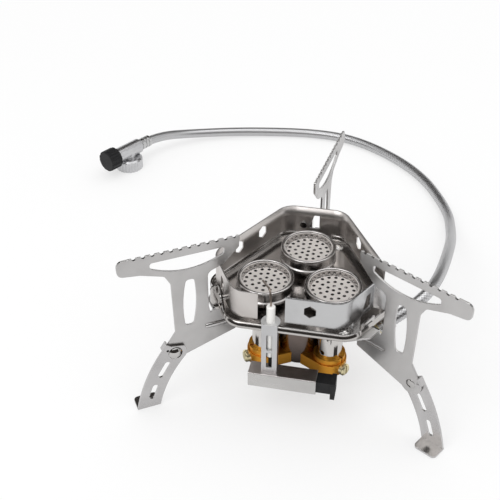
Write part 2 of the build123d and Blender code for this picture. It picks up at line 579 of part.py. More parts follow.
def gas_jet() -> Part:
    """Build one brass jet standing in its block, below the tube."""
    top = TUBE_LOW + 4.0
    jet = pin(JET_R, JET_LOW, top - 1.5) + Pos(0, 0, top - 0.75) * Cone(JET_R, 1.2, 1.5)
    return Pos(BURNER_R, 0, 0) * (jet - pin(0.5, JET_LOW, top + 1))


# Igniter

BRACKET_BACK = -PLATE_LONG
BRACKET_FRONT = BRACKET_BACK - BRACKET_SHEET
RING_LOW = PLATE_Z + LIP_TALL
CERAMIC_Y = BRACKET_BACK + CERAMIC_R + 0.4
CASE_MID_Y = (CASE_Y[0] + CASE_Y[1]) / 2
CASE_MID_Z = (CASE_Z[0] + CASE_Z[1]) / 2
PLUNGER_HALF = (CASE_Y[1] - CASE_Y[0]) / 2 - CASE_SHEET - SLIDE_GAP
PIEZO_END = CASE_X[0] + PIEZO_LONG
PIEZO_Y = (CASE_Y[0] + CASE_SHEET, CASE_Y[1] - CASE_SHEET)
PIEZO_Z = (CASE_Z[0] + CASE_SHEET, CASE_Z[1] - CASE_SHEET)


def igniter_case() -> Part:
    """Build the folded steel case of the igniter, open at the button's end."""
    shell = block(CASE_X, CASE_Y, CASE_Z)
    shell = fillet(shell.edges().filter_by(Axis.X), 0.6)
    shell -= block((CASE_X[0] + CASE_SHEET, CASE_X[1] + 1), PIEZO_Y, PIEZO_Z)
    return shell - Pos(BRACKET_X, CERAMIC_Y, 0) * pin(LEAD_R, CASE_MID_Z, CASE_Z[1] + 1)


def igniter_bracket() -> Part:
    """Build the slotted strip that hangs the case from the base plate, with the ring round the insulator."""
    tall = RING_LOW - CASE_Z[1]
    half = BRACKET_WIDE / 2
    front = Pos(BRACKET_X, CASE_Z[1] + tall / 2) * Rectangle(BRACKET_WIDE, tall)
    for share in (0.26, 0.644):
        front -= Pos(BRACKET_X, CASE_Z[1] + tall * share) * RectangleRounded(BRACKET_SLOT, tall * 0.33, 0.6)
    ring = Pos(BRACKET_X, CERAMIC_Y) * Circle(RING_WIDE / 2)
    ring &= Pos(BRACKET_X, BRACKET_FRONT + RING_WIDE) * Rectangle(2 * RING_WIDE, 2 * RING_WIDE)
    neck = Rectangle(BRACKET_WIDE, CERAMIC_Y - BRACKET_FRONT)
    ring += Pos(BRACKET_X, (BRACKET_FRONT + CERAMIC_Y) / 2) * neck
    ring -= Pos(BRACKET_X, CERAMIC_Y) * Circle(CERAMIC_R)
    strip = upright(front, BRACKET_FRONT, BRACKET_BACK) + flat(ring, RING_LOW, RING_LOW + BRACKET_SHEET)
    deep = (BRACKET_FRONT, BRACKET_BACK + BRACKET_FLANGE)
    for side in (BRACKET_X - half, BRACKET_X + half - BRACKET_SHEET):
        strip += block((side, side + BRACKET_SHEET), deep, (CASE_Z[1], PLATE_Z - 1))
    return strip


def piezo_unit() -> Part:
    """Build the spark unit at the back of the case."""
    return block((CASE_X[0] + CASE_SHEET, PIEZO_END), PIEZO_Y, PIEZO_Z)


def igniter_button() -> Part:
    """Build the plunger: a sliding shank with a finger plate that reaches below the case."""
    shank_high = (CASE_Z[1] - CASE_Z[0]) / 2 - CASE_SHEET - SLIDE_GAP
    y = (CASE_MID_Y - PLUNGER_HALF, CASE_MID_Y + PLUNGER_HALF)
    start = PIEZO_END + BUTTON_TRAVEL + SLIDE_GAP
    shank = block((start, BUTTON_END), y, (CASE_MID_Z - shank_high, CASE_MID_Z + shank_high))
    plate = block((BUTTON_END - BUTTON_CAP, BUTTON_END), CASE_Y, (CASE_Z[0] - 2.5, CASE_Z[1] - 0.6))
    return shank + fillet(plate.edges().filter_by(Axis.X), 1.0)


def insulator() -> Part:
    """Build the white ceramic sleeve of the electrode."""
    sleeve = pin(CERAMIC_R, CERAMIC_LOW, CERAMIC_TOP)
    sleeve = chamfer(sleeve.edges().sort_by(Axis.Z)[-1], 0.6)
    return Pos(BRACKET_X, CERAMIC_Y, 0) * (sleeve - pin(WIRE_R, CERAMIC_LOW, CERAMIC_TOP))


def spark_electrode() -> Part:
    """Build the bent wire that ends over the left-hand burner."""
    foot = (BRACKET_X, CERAMIC_Y, CERAMIC_LOW)
    path = FilletPolyline(foot, (BRACKET_X, CERAMIC_Y, CERAMIC_TOP + 2.0), SPARK_BEND, SPARK_TIP, radius=3.0)
    return sweep(Plane(foot, z_dir=(0, 0, 1)) * Circle(WIRE_R), path)


def ignition_lead() -> Part:
    """Build the lead from the spark unit up to the electrode, behind the bracket."""
    foot = (BRACKET_X, CERAMIC_Y, CASE_Z[1] - CASE_SHEET)
    return Pos(*foot) * pin(LEAD_R, 0, CERAMIC_LOW - foot[2])


# Hose, fittings and valve

INLET = Vector(PIPE_REACH, 0, PIPE_Z).rotate(Axis.Z, PIPE_TURN)
FITTING_WAY = Vector(1, 0, tan(radians(FITTING_RISE))).normalized().rotate(Axis.Z, FITTING_TURN)
HOSE_START = INLET + FITTING_WAY * (NUT_FROM + NUT_LONG)
HOSE_LIES = HOSE_R + 0.05  # height of its middle on the floor

# Route of the hose: out of the fitting, over and down to the floor, then round to the valve.
HOSE_ROUTE = [
    tuple(HOSE_START),
    tuple(HOSE_START + FITTING_WAY * HOSE_LEAD),
    (78.6, 33.6, 52.4),
    (86.1, 93.0, 38.5),
    (88.5, 150.0, 11.0),
    (85.0, 192.0, HOSE_LIES),
    (59.5, 243.5, HOSE_LIES),
    (12.6, 281.1, HOSE_LIES),
    (-27.3, 290.5, HOSE_LIES),
    (-90.0, 281.5, HOSE_LIES),
    (-136.0, 262.0, 7.0),
    (-160.0, 238.0, 15.0),
    (-170.0, 221.0, 15.0),
]
HOSE_END = Vector(*HOSE_ROUTE[-1])
VALVE_WAY = (HOSE_END - Vector(*HOSE_ROUTE[-2])).normalized()


def along(start: Vector, way: Vector, shape: Part) -> Part:
    """Put a shape built up Z onto a start point and direction."""
    return Plane(start, z_dir=way).location * shape


def hose_path() -> Wire:
    """Join the route with tangent arcs as wide as its runs allow, and print how tight they are."""
    points = [Vector(*place) for place in HOSE_ROUTE]
    radii = []
    for before, here, after in zip(points, points[1:], points[2:]):
        turn = radians((here - before).get_angle(after - here))
        radii.append(0.45 * min((here - before).length, (after - here).length) / tan(turn / 2))
    path = FilletPolyline(*points, radius=radii)
    print("hose length %.1f, arc radii" % path.length, " ".join("%.0f" % radius for radius in radii))
    return path


def braided_hose() -> Part:
    """Build the hose as one plain round length."""
    path = hose_path()
    hose = sweep(Plane(HOSE_START, z_dir=FITTING_WAY) * Circle(HOSE_R), path)
    print("hose volume over section times length %.4f" % (hose.volume / (pi * HOSE_R**2 * path.length)))
    return hose


def inlet_pipe() -> Part:
    """Build the brass inlet from the chamber's side to the hose nut."""
    first = Vector(CHAMBER_R - 1.0, 0, PIPE_Z).rotate(Axis.Z, PIPE_TURN)
    path = FilletPolyline(first, INLET, INLET + FITTING_WAY * NUT_FROM * 4, radius=6.0)
    pipe = sweep(Plane(first, z_dir=INLET - first) * Circle(PIPE_R), path)
    pipe -= pin(CHAMBER_R, CHAMBER_LOW, PLATE_Z)
    return pipe - along(INLET, FITTING_WAY, pin(2 * PIPE_R, NUT_FROM, 9 * NUT_FROM))


def hose_nut() -> Part:
    """Build the hexagonal nut between the inlet and the hose."""
    hexagon = RegularPolygon(NUT_FLATS / 2, 6, major_radius=False)
    nut = flat(hexagon, NUT_FROM, NUT_FROM + NUT_LONG - 2.0)
    nut += pin(NUT_FLATS * 0.42, NUT_FROM, NUT_FROM + NUT_LONG)
    return along(INLET, FITTING_WAY, nut)


def ferrule(start: Vector, way: Vector) -> Part:
    """Build a crimped sleeve on the end of the hose, with two pressed grooves."""
    sleeve = pin(FERRULE_R, 0, FERRULE_LONG) - pin(HOSE_R, 0, FERRULE_LONG)
    for share in (0.35, 0.68):
        groove = pin(FERRULE_R + 1, 0, 1.2) - pin(FERRULE_R - 0.4, 0, 1.2)
        sleeve -= Pos(0, 0, FERRULE_LONG * share - 0.6) * groove
    return along(start, way, sleeve)


def valve_frame() -> Location:
    """Return the valve's place: its X runs on from the hose, its canister socket faces the floor."""
    start = HOSE_END - Vector(0, 0, VALVE_Z)
    return Plane(start, x_dir=VALVE_WAY, z_dir=(0, 0, 1)).location


def valve_body() -> Part:
    """Build the valve's body: barrel on the hose's line and the threaded canister socket below."""
    middle = BARREL_LONG / 2
    barrel = pin(BARREL_R, 2.0, BARREL_LONG) + pin(BARREL_R - 1.6, 0, 2.0)
    bore = pin(SPINDLE_R + RUN_FIT, BARREL_LONG - SPINDLE_DEEP - SLIDE_GAP, BARREL_LONG + 1)
    socket = lathe([(0, 0), (SOCKET_R, 0), (SOCKET_R, SOCKET_TALL - 1.5), (SOCKET_R - 1.5, SOCKET_TALL),
                    (BARREL_R, SOCKET_TALL), (BARREL_R, VALVE_Z), (0, VALVE_Z)])
    for i in range(SOCKET_FLUTES):
        flute = Pos(SOCKET_R + 0.35, 0, SOCKET_TALL / 2) * Cylinder(0.8, 2 * SOCKET_TALL)
        socket -= Rot(0, 0, 360 / SOCKET_FLUTES * i) * flute
    recess = pin(THREAD_R, 0, THREAD_DEEP) + pin(SEAL_R, THREAD_DEEP, SEAL_LOW + SEAL_TALL)
    lying = Pos(0, 0, VALVE_Z) * Rot(0, 90, 0)
    body = lying * barrel + Pos(middle, 0, 0) * socket
    return valve_frame() * (body - lying * bore - Pos(middle, 0, 0) * recess)


def valve_seal() -> Part:
    """Build the rubber ring in its recess above the canister socket."""
    top = SEAL_LOW + SEAL_TALL
    ring = pin(SEAL_R, SEAL_LOW, top) - pin(SEAL_R - SEAL_WALL, SEAL_LOW, top)
    return valve_frame() * Pos(BARREL_LONG / 2, 0, 0) * ring


def valve_knob() -> Part:
    """Build the fluted knob on its spindle."""
    start = BARREL_LONG + SLIDE_GAP
    knob = pin(KNOB_R, start, start + KNOB_LONG)
    knob = fillet(knob.edges().filter_by(GeomType.CIRCLE), 1.0)
    flute = Pos(KNOB_R + 0.6, 0, start + KNOB_LONG / 2) * Cylinder(1.5, 2 * KNOB_LONG)
    for i in range(KNOB_FLUTES):
        knob -= Rot(0, 0, 360 / KNOB_FLUTES * i) * flute
    knob += pin(SPINDLE_R, BARREL_LONG - SPINDLE_DEEP, start + 1.0)
    return valve_frame() * Pos(0, 0, VALVE_Z) * Rot(0, 90, 0) * knob


def three(shape: Part) -> Compound:
    """Repeat a piece at the three corners as one group."""
    return Compound(children=[corner(name) * shape for name in CORNERS])


def build() -> dict:
    """Build every piece where it stands and return them by name."""
    parts = {"base_plate": base_plate(), "arm_pivots": three(arm_pivot())}
    parts["windshield_rear"], parts["windshield_front"] = windshield()
    parts["windshield_pins"] = Compound(children=[shield_pin(name) for name in PINNED])
    parts["windshield_rivets"] = Compound(children=[shield_rivet(name) for name in CORNERS])
    at_burner = Pos(BURNER_R, 0, 0)
    arm, leg, rivet = arm_body(), leg_body(), leg_rivet()
    cup, disc, tube, gas = burner_cup(), burner_disc(), mixing_tube(), gas_block()
    for name in CORNERS:
        parts["arm_" + name] = arm_place(name) * arm
        parts["leg_" + name] = arm_place(name) * leg
        parts["leg_rivet_" + name] = arm_place(name) * rivet
        parts["burner_cup_" + name] = corner(name) * at_burner * cup
        parts["burner_disc_" + name] = corner(name) * at_burner * disc
        parts["mixing_tube_" + name] = corner(name) * at_burner * tube
        parts["gas_block_" + name] = corner(name) * gas
    parts["gas_chamber"] = gas_chamber()
    parts["block_screws"] = three(block_screw())
    parts["gas_jets"] = three(gas_jet())
    parts["igniter_case"] = igniter_case()
    parts["igniter_bracket"] = igniter_bracket()
    parts["piezo_unit"] = piezo_unit()
    parts["igniter_button"] = igniter_button()
    parts["insulator"] = insulator()
    parts["spark_electrode"] = spark_electrode()
    parts["ignition_lead"] = ignition_lead()
    parts["inlet_pipe"] = inlet_pipe()
    parts["hose_nut"] = hose_nut()
    parts["braided_hose"] = braided_hose()
    sleeves = [ferrule(HOSE_START, FITTING_WAY), ferrule(HOSE_END, VALVE_WAY * -1)]
    parts["hose_ferrules"] = Compound(children=sleeves)
    parts["valve_body"] = valve_body()
    parts["valve_seal"] = valve_seal()
    parts["valve_knob"] = valve_knob()
    return parts


os.makedirs("parts", exist_ok=True)
for node, shape in build().items():
    export_step(shape, "parts/%s.step" % node)
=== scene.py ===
"""Dress a folding camping stove: stamped arms, a woven hose, finishes for its CAD pieces and a white studio."""

import logging
import math
from dataclasses import dataclass, field
from enum import Enum
from typing import Callable, Sequence

import bmesh
import bpy
from mathutils import Matrix, Vector


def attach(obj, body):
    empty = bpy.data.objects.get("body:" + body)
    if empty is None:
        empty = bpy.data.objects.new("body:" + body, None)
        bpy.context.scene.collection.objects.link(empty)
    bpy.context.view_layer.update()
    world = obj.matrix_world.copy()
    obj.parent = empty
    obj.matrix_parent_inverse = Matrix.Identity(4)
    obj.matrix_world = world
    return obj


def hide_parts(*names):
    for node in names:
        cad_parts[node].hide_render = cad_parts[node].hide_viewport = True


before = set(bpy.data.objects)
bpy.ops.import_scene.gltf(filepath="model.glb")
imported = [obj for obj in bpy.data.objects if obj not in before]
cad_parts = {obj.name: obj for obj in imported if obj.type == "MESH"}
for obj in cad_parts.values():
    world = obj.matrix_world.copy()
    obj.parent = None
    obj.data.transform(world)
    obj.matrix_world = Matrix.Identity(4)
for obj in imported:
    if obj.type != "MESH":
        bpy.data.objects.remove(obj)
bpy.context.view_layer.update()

LOG = logging.getLogger("stove")
MM = 0.001
ROOT = "stove"
CORNERS = ("rear", "left", "right")

Colour = tuple[float, float, float]
Point = tuple[float, float, float]
Spot = tuple[float, float]
Socket, Given, Out = bpy.types.NodeSocket, bpy.types.NodeOutputs, bpy.types.NodeInputs
Corner = tuple[float, float, float]  # an outline's corner: its place and the radius of its rounding

WHITE: Colour = (1.0, 1.0, 1.0)
EDGE_SAMPLES = 4
SMUDGES = (0.35, 0.7)  # noise below the first is clean, and above the second is a full smudge
MIX_FIRST, MIX_SECOND, MIX_RESULT = 6, 7, 2  # colour sockets of a Mix node
TINY = 1e-9


class Ray(Enum):
    """Rays that see the white surround, by the name of their Light Path output."""

    CAMERA = "Is Camera Ray"
    GLOSSY = "Is Glossy Ray"
    TRANSMISSION = "Is Transmission Ray"


class Grain(Enum):
    """Direction of a sheet's rolling grain, as how far it is stretched along X, Y and Z."""

    EVEN = (1.0, 1.0, 1.0)
    ALONG_X = (0.06, 1.0, 1.0)
    UPRIGHT = (1.0, 1.0, 0.06)


def rgba(colour: Colour) -> tuple[float, float, float, float]:
    """Return a colour with full alpha."""
    return (*colour, 1.0)


def put(name: str, data: bpy.types.ID) -> bpy.types.Object:
    """Add an object to the scene.

    Args:
        name: The object's name.
        data: Its mesh, curve, lamp or camera.

    Returns:
        The object.
    """
    piece = bpy.data.objects.new(name, data)
    bpy.context.collection.objects.link(piece)
    return piece


def shaped(piece: bpy.types.Object) -> bpy.types.Mesh:
    """Return a copy of a piece's final mesh, with its curve settings and modifiers."""
    bpy.context.view_layer.update()
    return bpy.data.meshes.new_from_object(piece.evaluated_get(bpy.context.evaluated_depsgraph_get()))


class Tree:
    """A node tree that is filled with short calls."""

    def __init__(self, tree: bpy.types.NodeTree) -> None:
        """Keep the tree.

        Args:
            tree: The material's, world's or group's node tree.
        """
        self.tree = tree

    def add(self, kind: str, inputs: dict | None = None, **settings: object) -> bpy.types.Node:
        """Add a node, set its fields and fill or link its inputs.

        Args:
            kind: The node's class, without the leading ShaderNode.
            inputs: Values or output sockets by input name or number.
            **settings: Fields of the node.

        Returns:
            The new node.
        """
        node = self.tree.nodes.new("NodeGroup" + kind if kind in ("Input", "Output") else "ShaderNode" + kind)
        for name, value in settings.items():
            setattr(node, name, value)
        for name, value in (inputs or {}).items():
            self.feed(node.inputs[name], value)
        return node

    def feed(self, socket: Socket, value: object) -> None:
        """Link an output socket to an input, or set the input's value.

        Args:
            socket: The input.
            value: An output socket or a plain value.
        """
        if isinstance(value, Socket):
            self.tree.links.new(value, socket)
        else:
            socket.default_value = value

    def group(self, group: bpy.types.NodeTree, inputs: dict) -> bpy.types.Node:
        """Place a node group with its own values.

        Args:
            group: The shared group.
            inputs: Values or output sockets by input name.

        Returns:
            The group's node.
        """
        node = self.tree.nodes.new("ShaderNodeGroup")
        node.node_tree = group
        for name, value in inputs.items():
            self.feed(node.inputs[name], value)
        return node

    def math(self, operation: str, first: object, second: object = 0.0) -> Socket:
        """Add one Math node and return its output."""
        return self.add("Math", {0: first, 1: second}, operation=operation).outputs[0]

    def mean(self, first: object, second: object) -> Socket:
        """Return the mean of two values."""
        return self.math("MULTIPLY", self.math("ADD", first, second), 0.5)

    def blend(self, share: object, first: object, second: object) -> Socket:
        """Add one colour Mix node.

        Args:
            share: How much of the second colour shows.
            first: First colour or its socket.
            second: Second colour or its socket.

        Returns:
            The mixed colour.
        """
        node = self.add("Mix", {"Factor": share}, data_type="RGBA")
        self.feed(node.inputs[MIX_FIRST], first)
        self.feed(node.inputs[MIX_SECOND], second)
        return node.outputs[MIX_RESULT]

    def spread(self, value: object, low: float, high: float) -> Socket:
        """Map a value from 0..1 to low..high and return the output."""
        return self.add("MapRange", {"Value": value, "To Min": low, "To Max": high}).outputs["Result"]

    def between(self, value: object, low: object, high: object) -> Socket:
        """Map a value from low..high to 0..1 and return the output."""
        return self.add("MapRange", {"Value": value, "From Min": low, "From Max": high}).outputs["Result"]


class Effects:
    """Shader groups that several finishes share, each built once."""

    def __init__(self) -> None:
        """Build the groups."""
        self.edges = self._make("worn_and_highlit_edges", {"Radius": 0.0003, "Gain": 4.0}, ("Edge", "Normal"), self._edges)
        self.grain = self._make("sheet_grain", {"Scale": 900.0, "Stretch": Grain.EVEN.value}, ("Grain",), self._grain)
        self.marks = self._make("handling_marks", {"Scale": 45.0}, ("Marks", "Waves"), self._marks)
        self.rim = self._make("rolled_rim", {"Low": 0.0, "High": 1.0, "Slope": 0.5, "Outside": 1.0}, ("Height",),
                              self._rim)
        self.up = self._make("upward_faces", {"From": 0.6, "To": 0.9}, ("Up",), self._up)

    @staticmethod
    def _make(name: str, inputs: dict, outputs: Sequence[str], fill: Callable) -> bpy.types.NodeTree:
        """Make an empty group with named sockets and let a method fill it.

        Args:
            name: The group's name.
            inputs: Default values by input name.
            outputs: Output names; Normal is a vector and the others are values.
            fill: Method that adds the nodes.

        Returns:
            The group.
        """
        group = bpy.data.node_groups.new(name, "ShaderNodeTree")
        for key, value in inputs.items():
            kind = "NodeSocketVector" if isinstance(value, tuple) else "NodeSocketFloat"
            group.interface.new_socket(key, in_out="INPUT", socket_type=kind).default_value = value
        for key in outputs:
            kind = "NodeSocketVector" if key == "Normal" else "NodeSocketFloat"
            group.interface.new_socket(key, in_out="OUTPUT", socket_type=kind)
        tree = Tree(group)
        fill(tree, tree.add("Input").outputs, tree.add("Output").inputs)
        return group

    @staticmethod
    def _edges(tree: Tree, given: Given, out: Out) -> None:
        """Soften sharp edges and mark them.

        Args:
            tree: The group's tree.
            given: The group's inputs.
            out: The group's outputs.
        """
        bevel = tree.add("Bevel", {"Radius": given["Radius"]}, samples=EDGE_SAMPLES)
        facing = tree.add("VectorMath", {0: bevel.outputs[0], 1: tree.add("NewGeometry").outputs["Normal"]},
                          operation="DOT_PRODUCT").outputs["Value"]
        turned = tree.math("SUBTRACT", 1.0, facing)
        tree.feed(out["Edge"], tree.add("Clamp", {"Value": tree.math("MULTIPLY", turned, given["Gain"])}).outputs[0])
        tree.feed(out["Normal"], bevel.outputs[0])

    @staticmethod
    def _grain(tree: Tree, given: Given, out: Out) -> None:
        """Make the fine lines that rolling and brushing leave in sheet metal.

        Args:
            tree: The group's tree.
            given: The group's inputs.
            out: The group's outputs.
        """
        place = tree.add("TexCoord").outputs["Object"]
        stretched = tree.add("VectorMath", {0: place, 1: given["Stretch"]}, operation="MULTIPLY").outputs[0]
        noise = tree.add("TexNoise", {"Vector": stretched, "Scale": given["Scale"], "Detail": 3.0, "Roughness": 0.6})
        tree.feed(out["Grain"], noise.outputs["Fac"])

    @staticmethod
    def _marks(tree: Tree, given: Given, out: Out) -> None:
        """Make the soft smudges of handling and the slow waves of pressed sheet.

        Args:
            tree: The group's tree.
            given: The group's inputs.
            out: The group's outputs.
        """
        place = tree.add("TexCoord").outputs["Object"]
        blots = tree.add("TexNoise", {"Vector": place, "Scale": given["Scale"], "Detail": 4.0, "Distortion": 0.6})
        tree.feed(out["Marks"], tree.between(blots.outputs["Fac"], *SMUDGES))
        waves = tree.add("TexNoise", {"Vector": place, "Scale": given["Scale"], "Detail": 0.0})
        tree.feed(out["Waves"], waves.outputs["Fac"])

    @staticmethod
    def _rim(tree: Tree, given: Given, out: Out) -> None:
        """Roll a wall back towards its top edge, on its inside or on both sides; heights in millimetres.

        The slope grows evenly from nothing, so the height is half the slope times the square of the way up.

        Args:
            tree: The group's tree.
            given: The group's inputs.
            out: The group's outputs.
        """
        spot = tree.add("TexCoord").outputs
        place = tree.add("SeparateXYZ", {0: spot["Object"]}).outputs["Z"]
        share = tree.between(tree.math("DIVIDE", place, MM), given["Low"], given["High"])
        reach = tree.math("MULTIPLY", tree.math("SUBTRACT", given["Low"], given["High"]), given["Slope"])
        plan = tree.add("VectorMath", {0: spot["Object"], 1: (1.0, 1.0, 0.0)}, operation="MULTIPLY").outputs[0]
        inward = tree.add("VectorMath", {0: plan, 1: spot["Normal"]}, operation="DOT_PRODUCT").outputs["Value"]
        shown = tree.math("MAXIMUM", tree.math("LESS_THAN", inward, 0.0), given["Outside"])
        rolled = tree.math("MULTIPLY", tree.math("MULTIPLY", share, share), tree.math("MULTIPLY", reach, 0.5))
        tree.feed(out["Height"], tree.math("MULTIPLY", rolled, shown))

    @staticmethod
    def _up(tree: Tree, given: Given, out: Out) -> None:
        """Mark the faces that look up."""
        facing = tree.add("SeparateXYZ", {0: tree.add("TexCoord").outputs["Normal"]}).outputs["Z"]
        tree.feed(out["Up"], tree.between(facing, given["From"], given["To"]))


EFFECTS = Effects()


@dataclass(frozen=True)
class Metal:
    """A metal finish: colour between two tones, rolling grain, soft waves and bright edges.

    A rim rolls a wall back between two heights in millimetres, to the slope that comes third, and the fourth
    number is 1 where its outside rolls too. Faces that look up can have a roughness of their own and a tone of
    their own, which is painted light where it is lighter and painted shade where it is darker. The bright edges
    are partly wear and partly painted highlight.
    """

    name: str
    colour: Colour
    shade: Colour
    gloss: tuple[float, float]
    edge_colour: Colour = (0.86, 0.86, 0.86)
    grain: Grain = Grain.EVEN
    grain_scale: float = 900.0
    grain_depth: float = 0.04
    wave_depth: float = 0.0
    edge_radius: float = 0.0003
    marks_scale: float = 45.0
    rim: tuple[float, float, float, float] | None = None
    top: Colour | None = None
    top_gloss: float = 0.5
    edge_share: float = 0.6

    def material(self) -> bpy.types.Material:
        """Build the material.

        Returns:
            The finished material.
        """
        made, tree, shader = new_surface(self.name)
        shader.inputs["Metallic"].default_value = 1.0
        edges = tree.group(EFFECTS.edges, {"Radius": self.edge_radius})
        grain = tree.group(EFFECTS.grain, {"Scale": self.grain_scale, "Stretch": self.grain.value})
        marks = tree.group(EFFECTS.marks, {"Scale": self.marks_scale})
        tone = tree.blend(marks.outputs["Marks"], rgba(self.colour), rgba(self.shade))
        rough = tree.spread(tree.mean(grain.outputs["Grain"], marks.outputs["Marks"]), *self.gloss)
        # Painted light and shade: faces that look up take a tone of their own
        if self.top:
            up = tree.group(EFFECTS.up, {}).outputs["Up"]
            tone = tree.blend(up, tone, rgba(self.top))
            rough = tree.add("Mix", {"Factor": up, "A": rough, "B": self.top_gloss}).outputs[0]
        # Edges brightened: partly wear, partly painted highlight
        bright = tree.math("MULTIPLY", edges.outputs["Edge"], self.edge_share)
        tree.feed(shader.inputs["Base Color"], tree.blend(bright, tone, rgba(self.edge_colour)))
        tree.feed(shader.inputs["Roughness"], rough)
        relief = tree.math("MULTIPLY", grain.outputs["Grain"], self.grain_depth)
        height = tree.math("ADD", relief, tree.math("MULTIPLY", marks.outputs["Waves"], self.wave_depth))
        if self.rim:
            rolled = tree.group(EFFECTS.rim, dict(zip(("Low", "High", "Slope", "Outside"), self.rim)))
            height = tree.math("ADD", height, rolled.outputs["Height"])
        bump = tree.add("Bump", {"Height": height, "Distance": MM, "Normal": edges.outputs["Normal"]})
        tree.feed(shader.inputs["Normal"], bump.outputs["Normal"])
        return made


@dataclass(frozen=True)
class Moulding:
    """A non-metal finish: plastic, rubber or glazed ceramic with fine texture and worn edges."""

    name: str
    colour: Colour
    shade: Colour
    gloss: tuple[float, float]
    edge_colour: Colour
    texture_scale: float = 1800.0
    texture_depth: float = 0.05
    coat: float = 0.0
    coat_gloss: float = 0.12
    marks_scale: float = 90.0
    shine: float = 0.5
    edge_radius: float = 0.0003

    def material(self) -> bpy.types.Material:
        """Build the material.

        Returns:
            The finished material.
        """
        made, tree, shader = new_surface(self.name)
        shader.inputs["Coat Weight"].default_value = self.coat
        shader.inputs["Specular IOR Level"].default_value = self.shine
        shader.inputs["Coat Roughness"].default_value = self.coat_gloss
        edges = tree.group(EFFECTS.edges, {"Radius": self.edge_radius})
        texture = tree.group(EFFECTS.grain, {"Scale": self.texture_scale})
        marks = tree.group(EFFECTS.marks, {"Scale": self.marks_scale})
        tone = tree.blend(marks.outputs["Marks"], rgba(self.colour), rgba(self.shade))
        worn = tree.math("MULTIPLY", edges.outputs["Edge"], texture.outputs["Grain"])
        tree.feed(shader.inputs["Base Color"], tree.blend(worn, tone, rgba(self.edge_colour)))
        tree.feed(shader.inputs["Roughness"], tree.spread(texture.outputs["Grain"], *self.gloss))
        height = tree.math("MULTIPLY", texture.outputs["Grain"], self.texture_depth)
        bump = tree.add("Bump", {"Height": height, "Distance": MM, "Normal": edges.outputs["Normal"]})
        tree.feed(shader.inputs["Normal"], bump.outputs["Normal"])
        return made


@dataclass(frozen=True)
class Braid:
    """The hose's woven steel: bright on the strands' crowns and dark between them, as painted shade in the gaps."""

    name: str = "woven_steel"
    crown: Colour = (0.72, 0.72, 0.73)
    # Painted shade: the colour in the gaps between the strands
    hollow: Colour = (0.14, 0.14, 0.14)
    gloss: tuple[float, float] = (0.5, 0.28)
    grain_scale: float = 2600.0
    grain_depth: float = 0.04
    patches: tuple[float, float] = (0.75, 1.15)
    attribute: str = "weave_height"

    def material(self) -> bpy.types.Material:
        """Build the material.

        Returns:
            The finished material.
        """
        made, tree, shader = new_surface(self.name)
        shader.inputs["Metallic"].default_value = 1.0
        height = tree.add("Attribute", attribute_name=self.attribute).outputs["Fac"]
        grain = tree.group(EFFECTS.grain, {"Scale": self.grain_scale})
        lifted = tree.math("MULTIPLY", height, tree.spread(grain.outputs["Grain"], *self.patches))
        shown = tree.add("Clamp", {"Value": lifted}).outputs[0]
        tree.feed(shader.inputs["Base Color"], tree.blend(shown, rgba(self.hollow), rgba(self.crown)))
        tree.feed(shader.inputs["Roughness"], tree.spread(shown, *self.gloss))
        relief = tree.math("MULTIPLY", grain.outputs["Grain"], self.grain_depth)
        bump = tree.add("Bump", {"Height": relief, "Distance": MM})
        tree.feed(shader.inputs["Normal"], bump.outputs["Normal"])
        return made


def new_surface(name: str) -> tuple[bpy.types.Material, Tree, bpy.types.Node]:
    """Start a material.

    Args:
        name: The material's name.

    Returns:
        The material, its tree and its Principled shader.
    """
    made = bpy.data.materials.new(name)
    made.use_nodes = True
    return made, Tree(made.node_tree), made.node_tree.nodes["Principled BSDF"]


# Finishes of the stove

# Painted light: faces that look up, such as the notched tops, take a lighter tone
SATIN_SHEET = Metal("satin_sheet", (0.53, 0.52, 0.515), (0.48, 0.47, 0.465), (0.26, 0.38), grain_depth=0.05,
                    edge_radius=0.0005, top=(0.72, 0.71, 0.7), top_gloss=0.5)
BEAD_SHEET = Metal("bead_sheet", (0.56, 0.55, 0.545), (0.5, 0.49, 0.485), (0.1, 0.16), grain_depth=0.01)
# Painted shade in the arms' notches
NOTCH_SHADE = Metal("painted_notch_shade", (0.2, 0.195, 0.19), (0.14, 0.135, 0.13), (0.2, 0.3), edge_colour=(0.3, 0.3, 0.3))
# Painted shade: faces that look up, such as the feet, take a darker tone
LEG_SHEET = Metal("leg_sheet", (0.54, 0.53, 0.53), (0.48, 0.47, 0.47), (0.2, 0.32), grain_depth=0.03,
                  top=(0.38, 0.365, 0.35), top_gloss=0.24)
RIVET = Metal("bright_rivet", (0.52, 0.51, 0.5), (0.42, 0.41, 0.4), (0.05, 0.12), grain_depth=0.01)
TRAY_SHEET = Metal("tray_sheet", (0.52, 0.5, 0.485), (0.44, 0.42, 0.405), (0.1, 0.2), wave_depth=0.1,
                   grain_depth=0.012, marks_scale=40.0, rim=(63.6, 68.0, 1.1, 1.0))
WALL_SHEET = Metal("wall_sheet", (0.62, 0.59, 0.57), (0.54, 0.51, 0.49), (0.3, 0.42), wave_depth=0.06,
                   grain_depth=0.008, marks_scale=40.0, rim=(80.0, 87.5, 1.1, 0.0))
SHIELD_SHEET = Metal("shield_sheet", (0.54, 0.54, 0.545), (0.48, 0.48, 0.485), (0.2, 0.32), grain=Grain.ALONG_X,
                     rim=(86.0, 87.5, 0.5, 1.0))
BURNER_CUP = Metal("burner_cup", (0.56, 0.54, 0.53), (0.48, 0.46, 0.45), (0.14, 0.28), wave_depth=0.1,
                   grain_depth=0.01)
# Painted light: the disc's upward faces take a lighter tone
PAN = Metal("pierced_pan", (0.5, 0.48, 0.47), (0.42, 0.4, 0.39), (0.1, 0.22), grain_depth=0.02,
            top=(0.9, 0.86, 0.83), top_gloss=0.65)
TUBE = Metal("polished_tube", (0.62, 0.6, 0.58), (0.54, 0.52, 0.5), (0.05, 0.12), grain_depth=0.005)
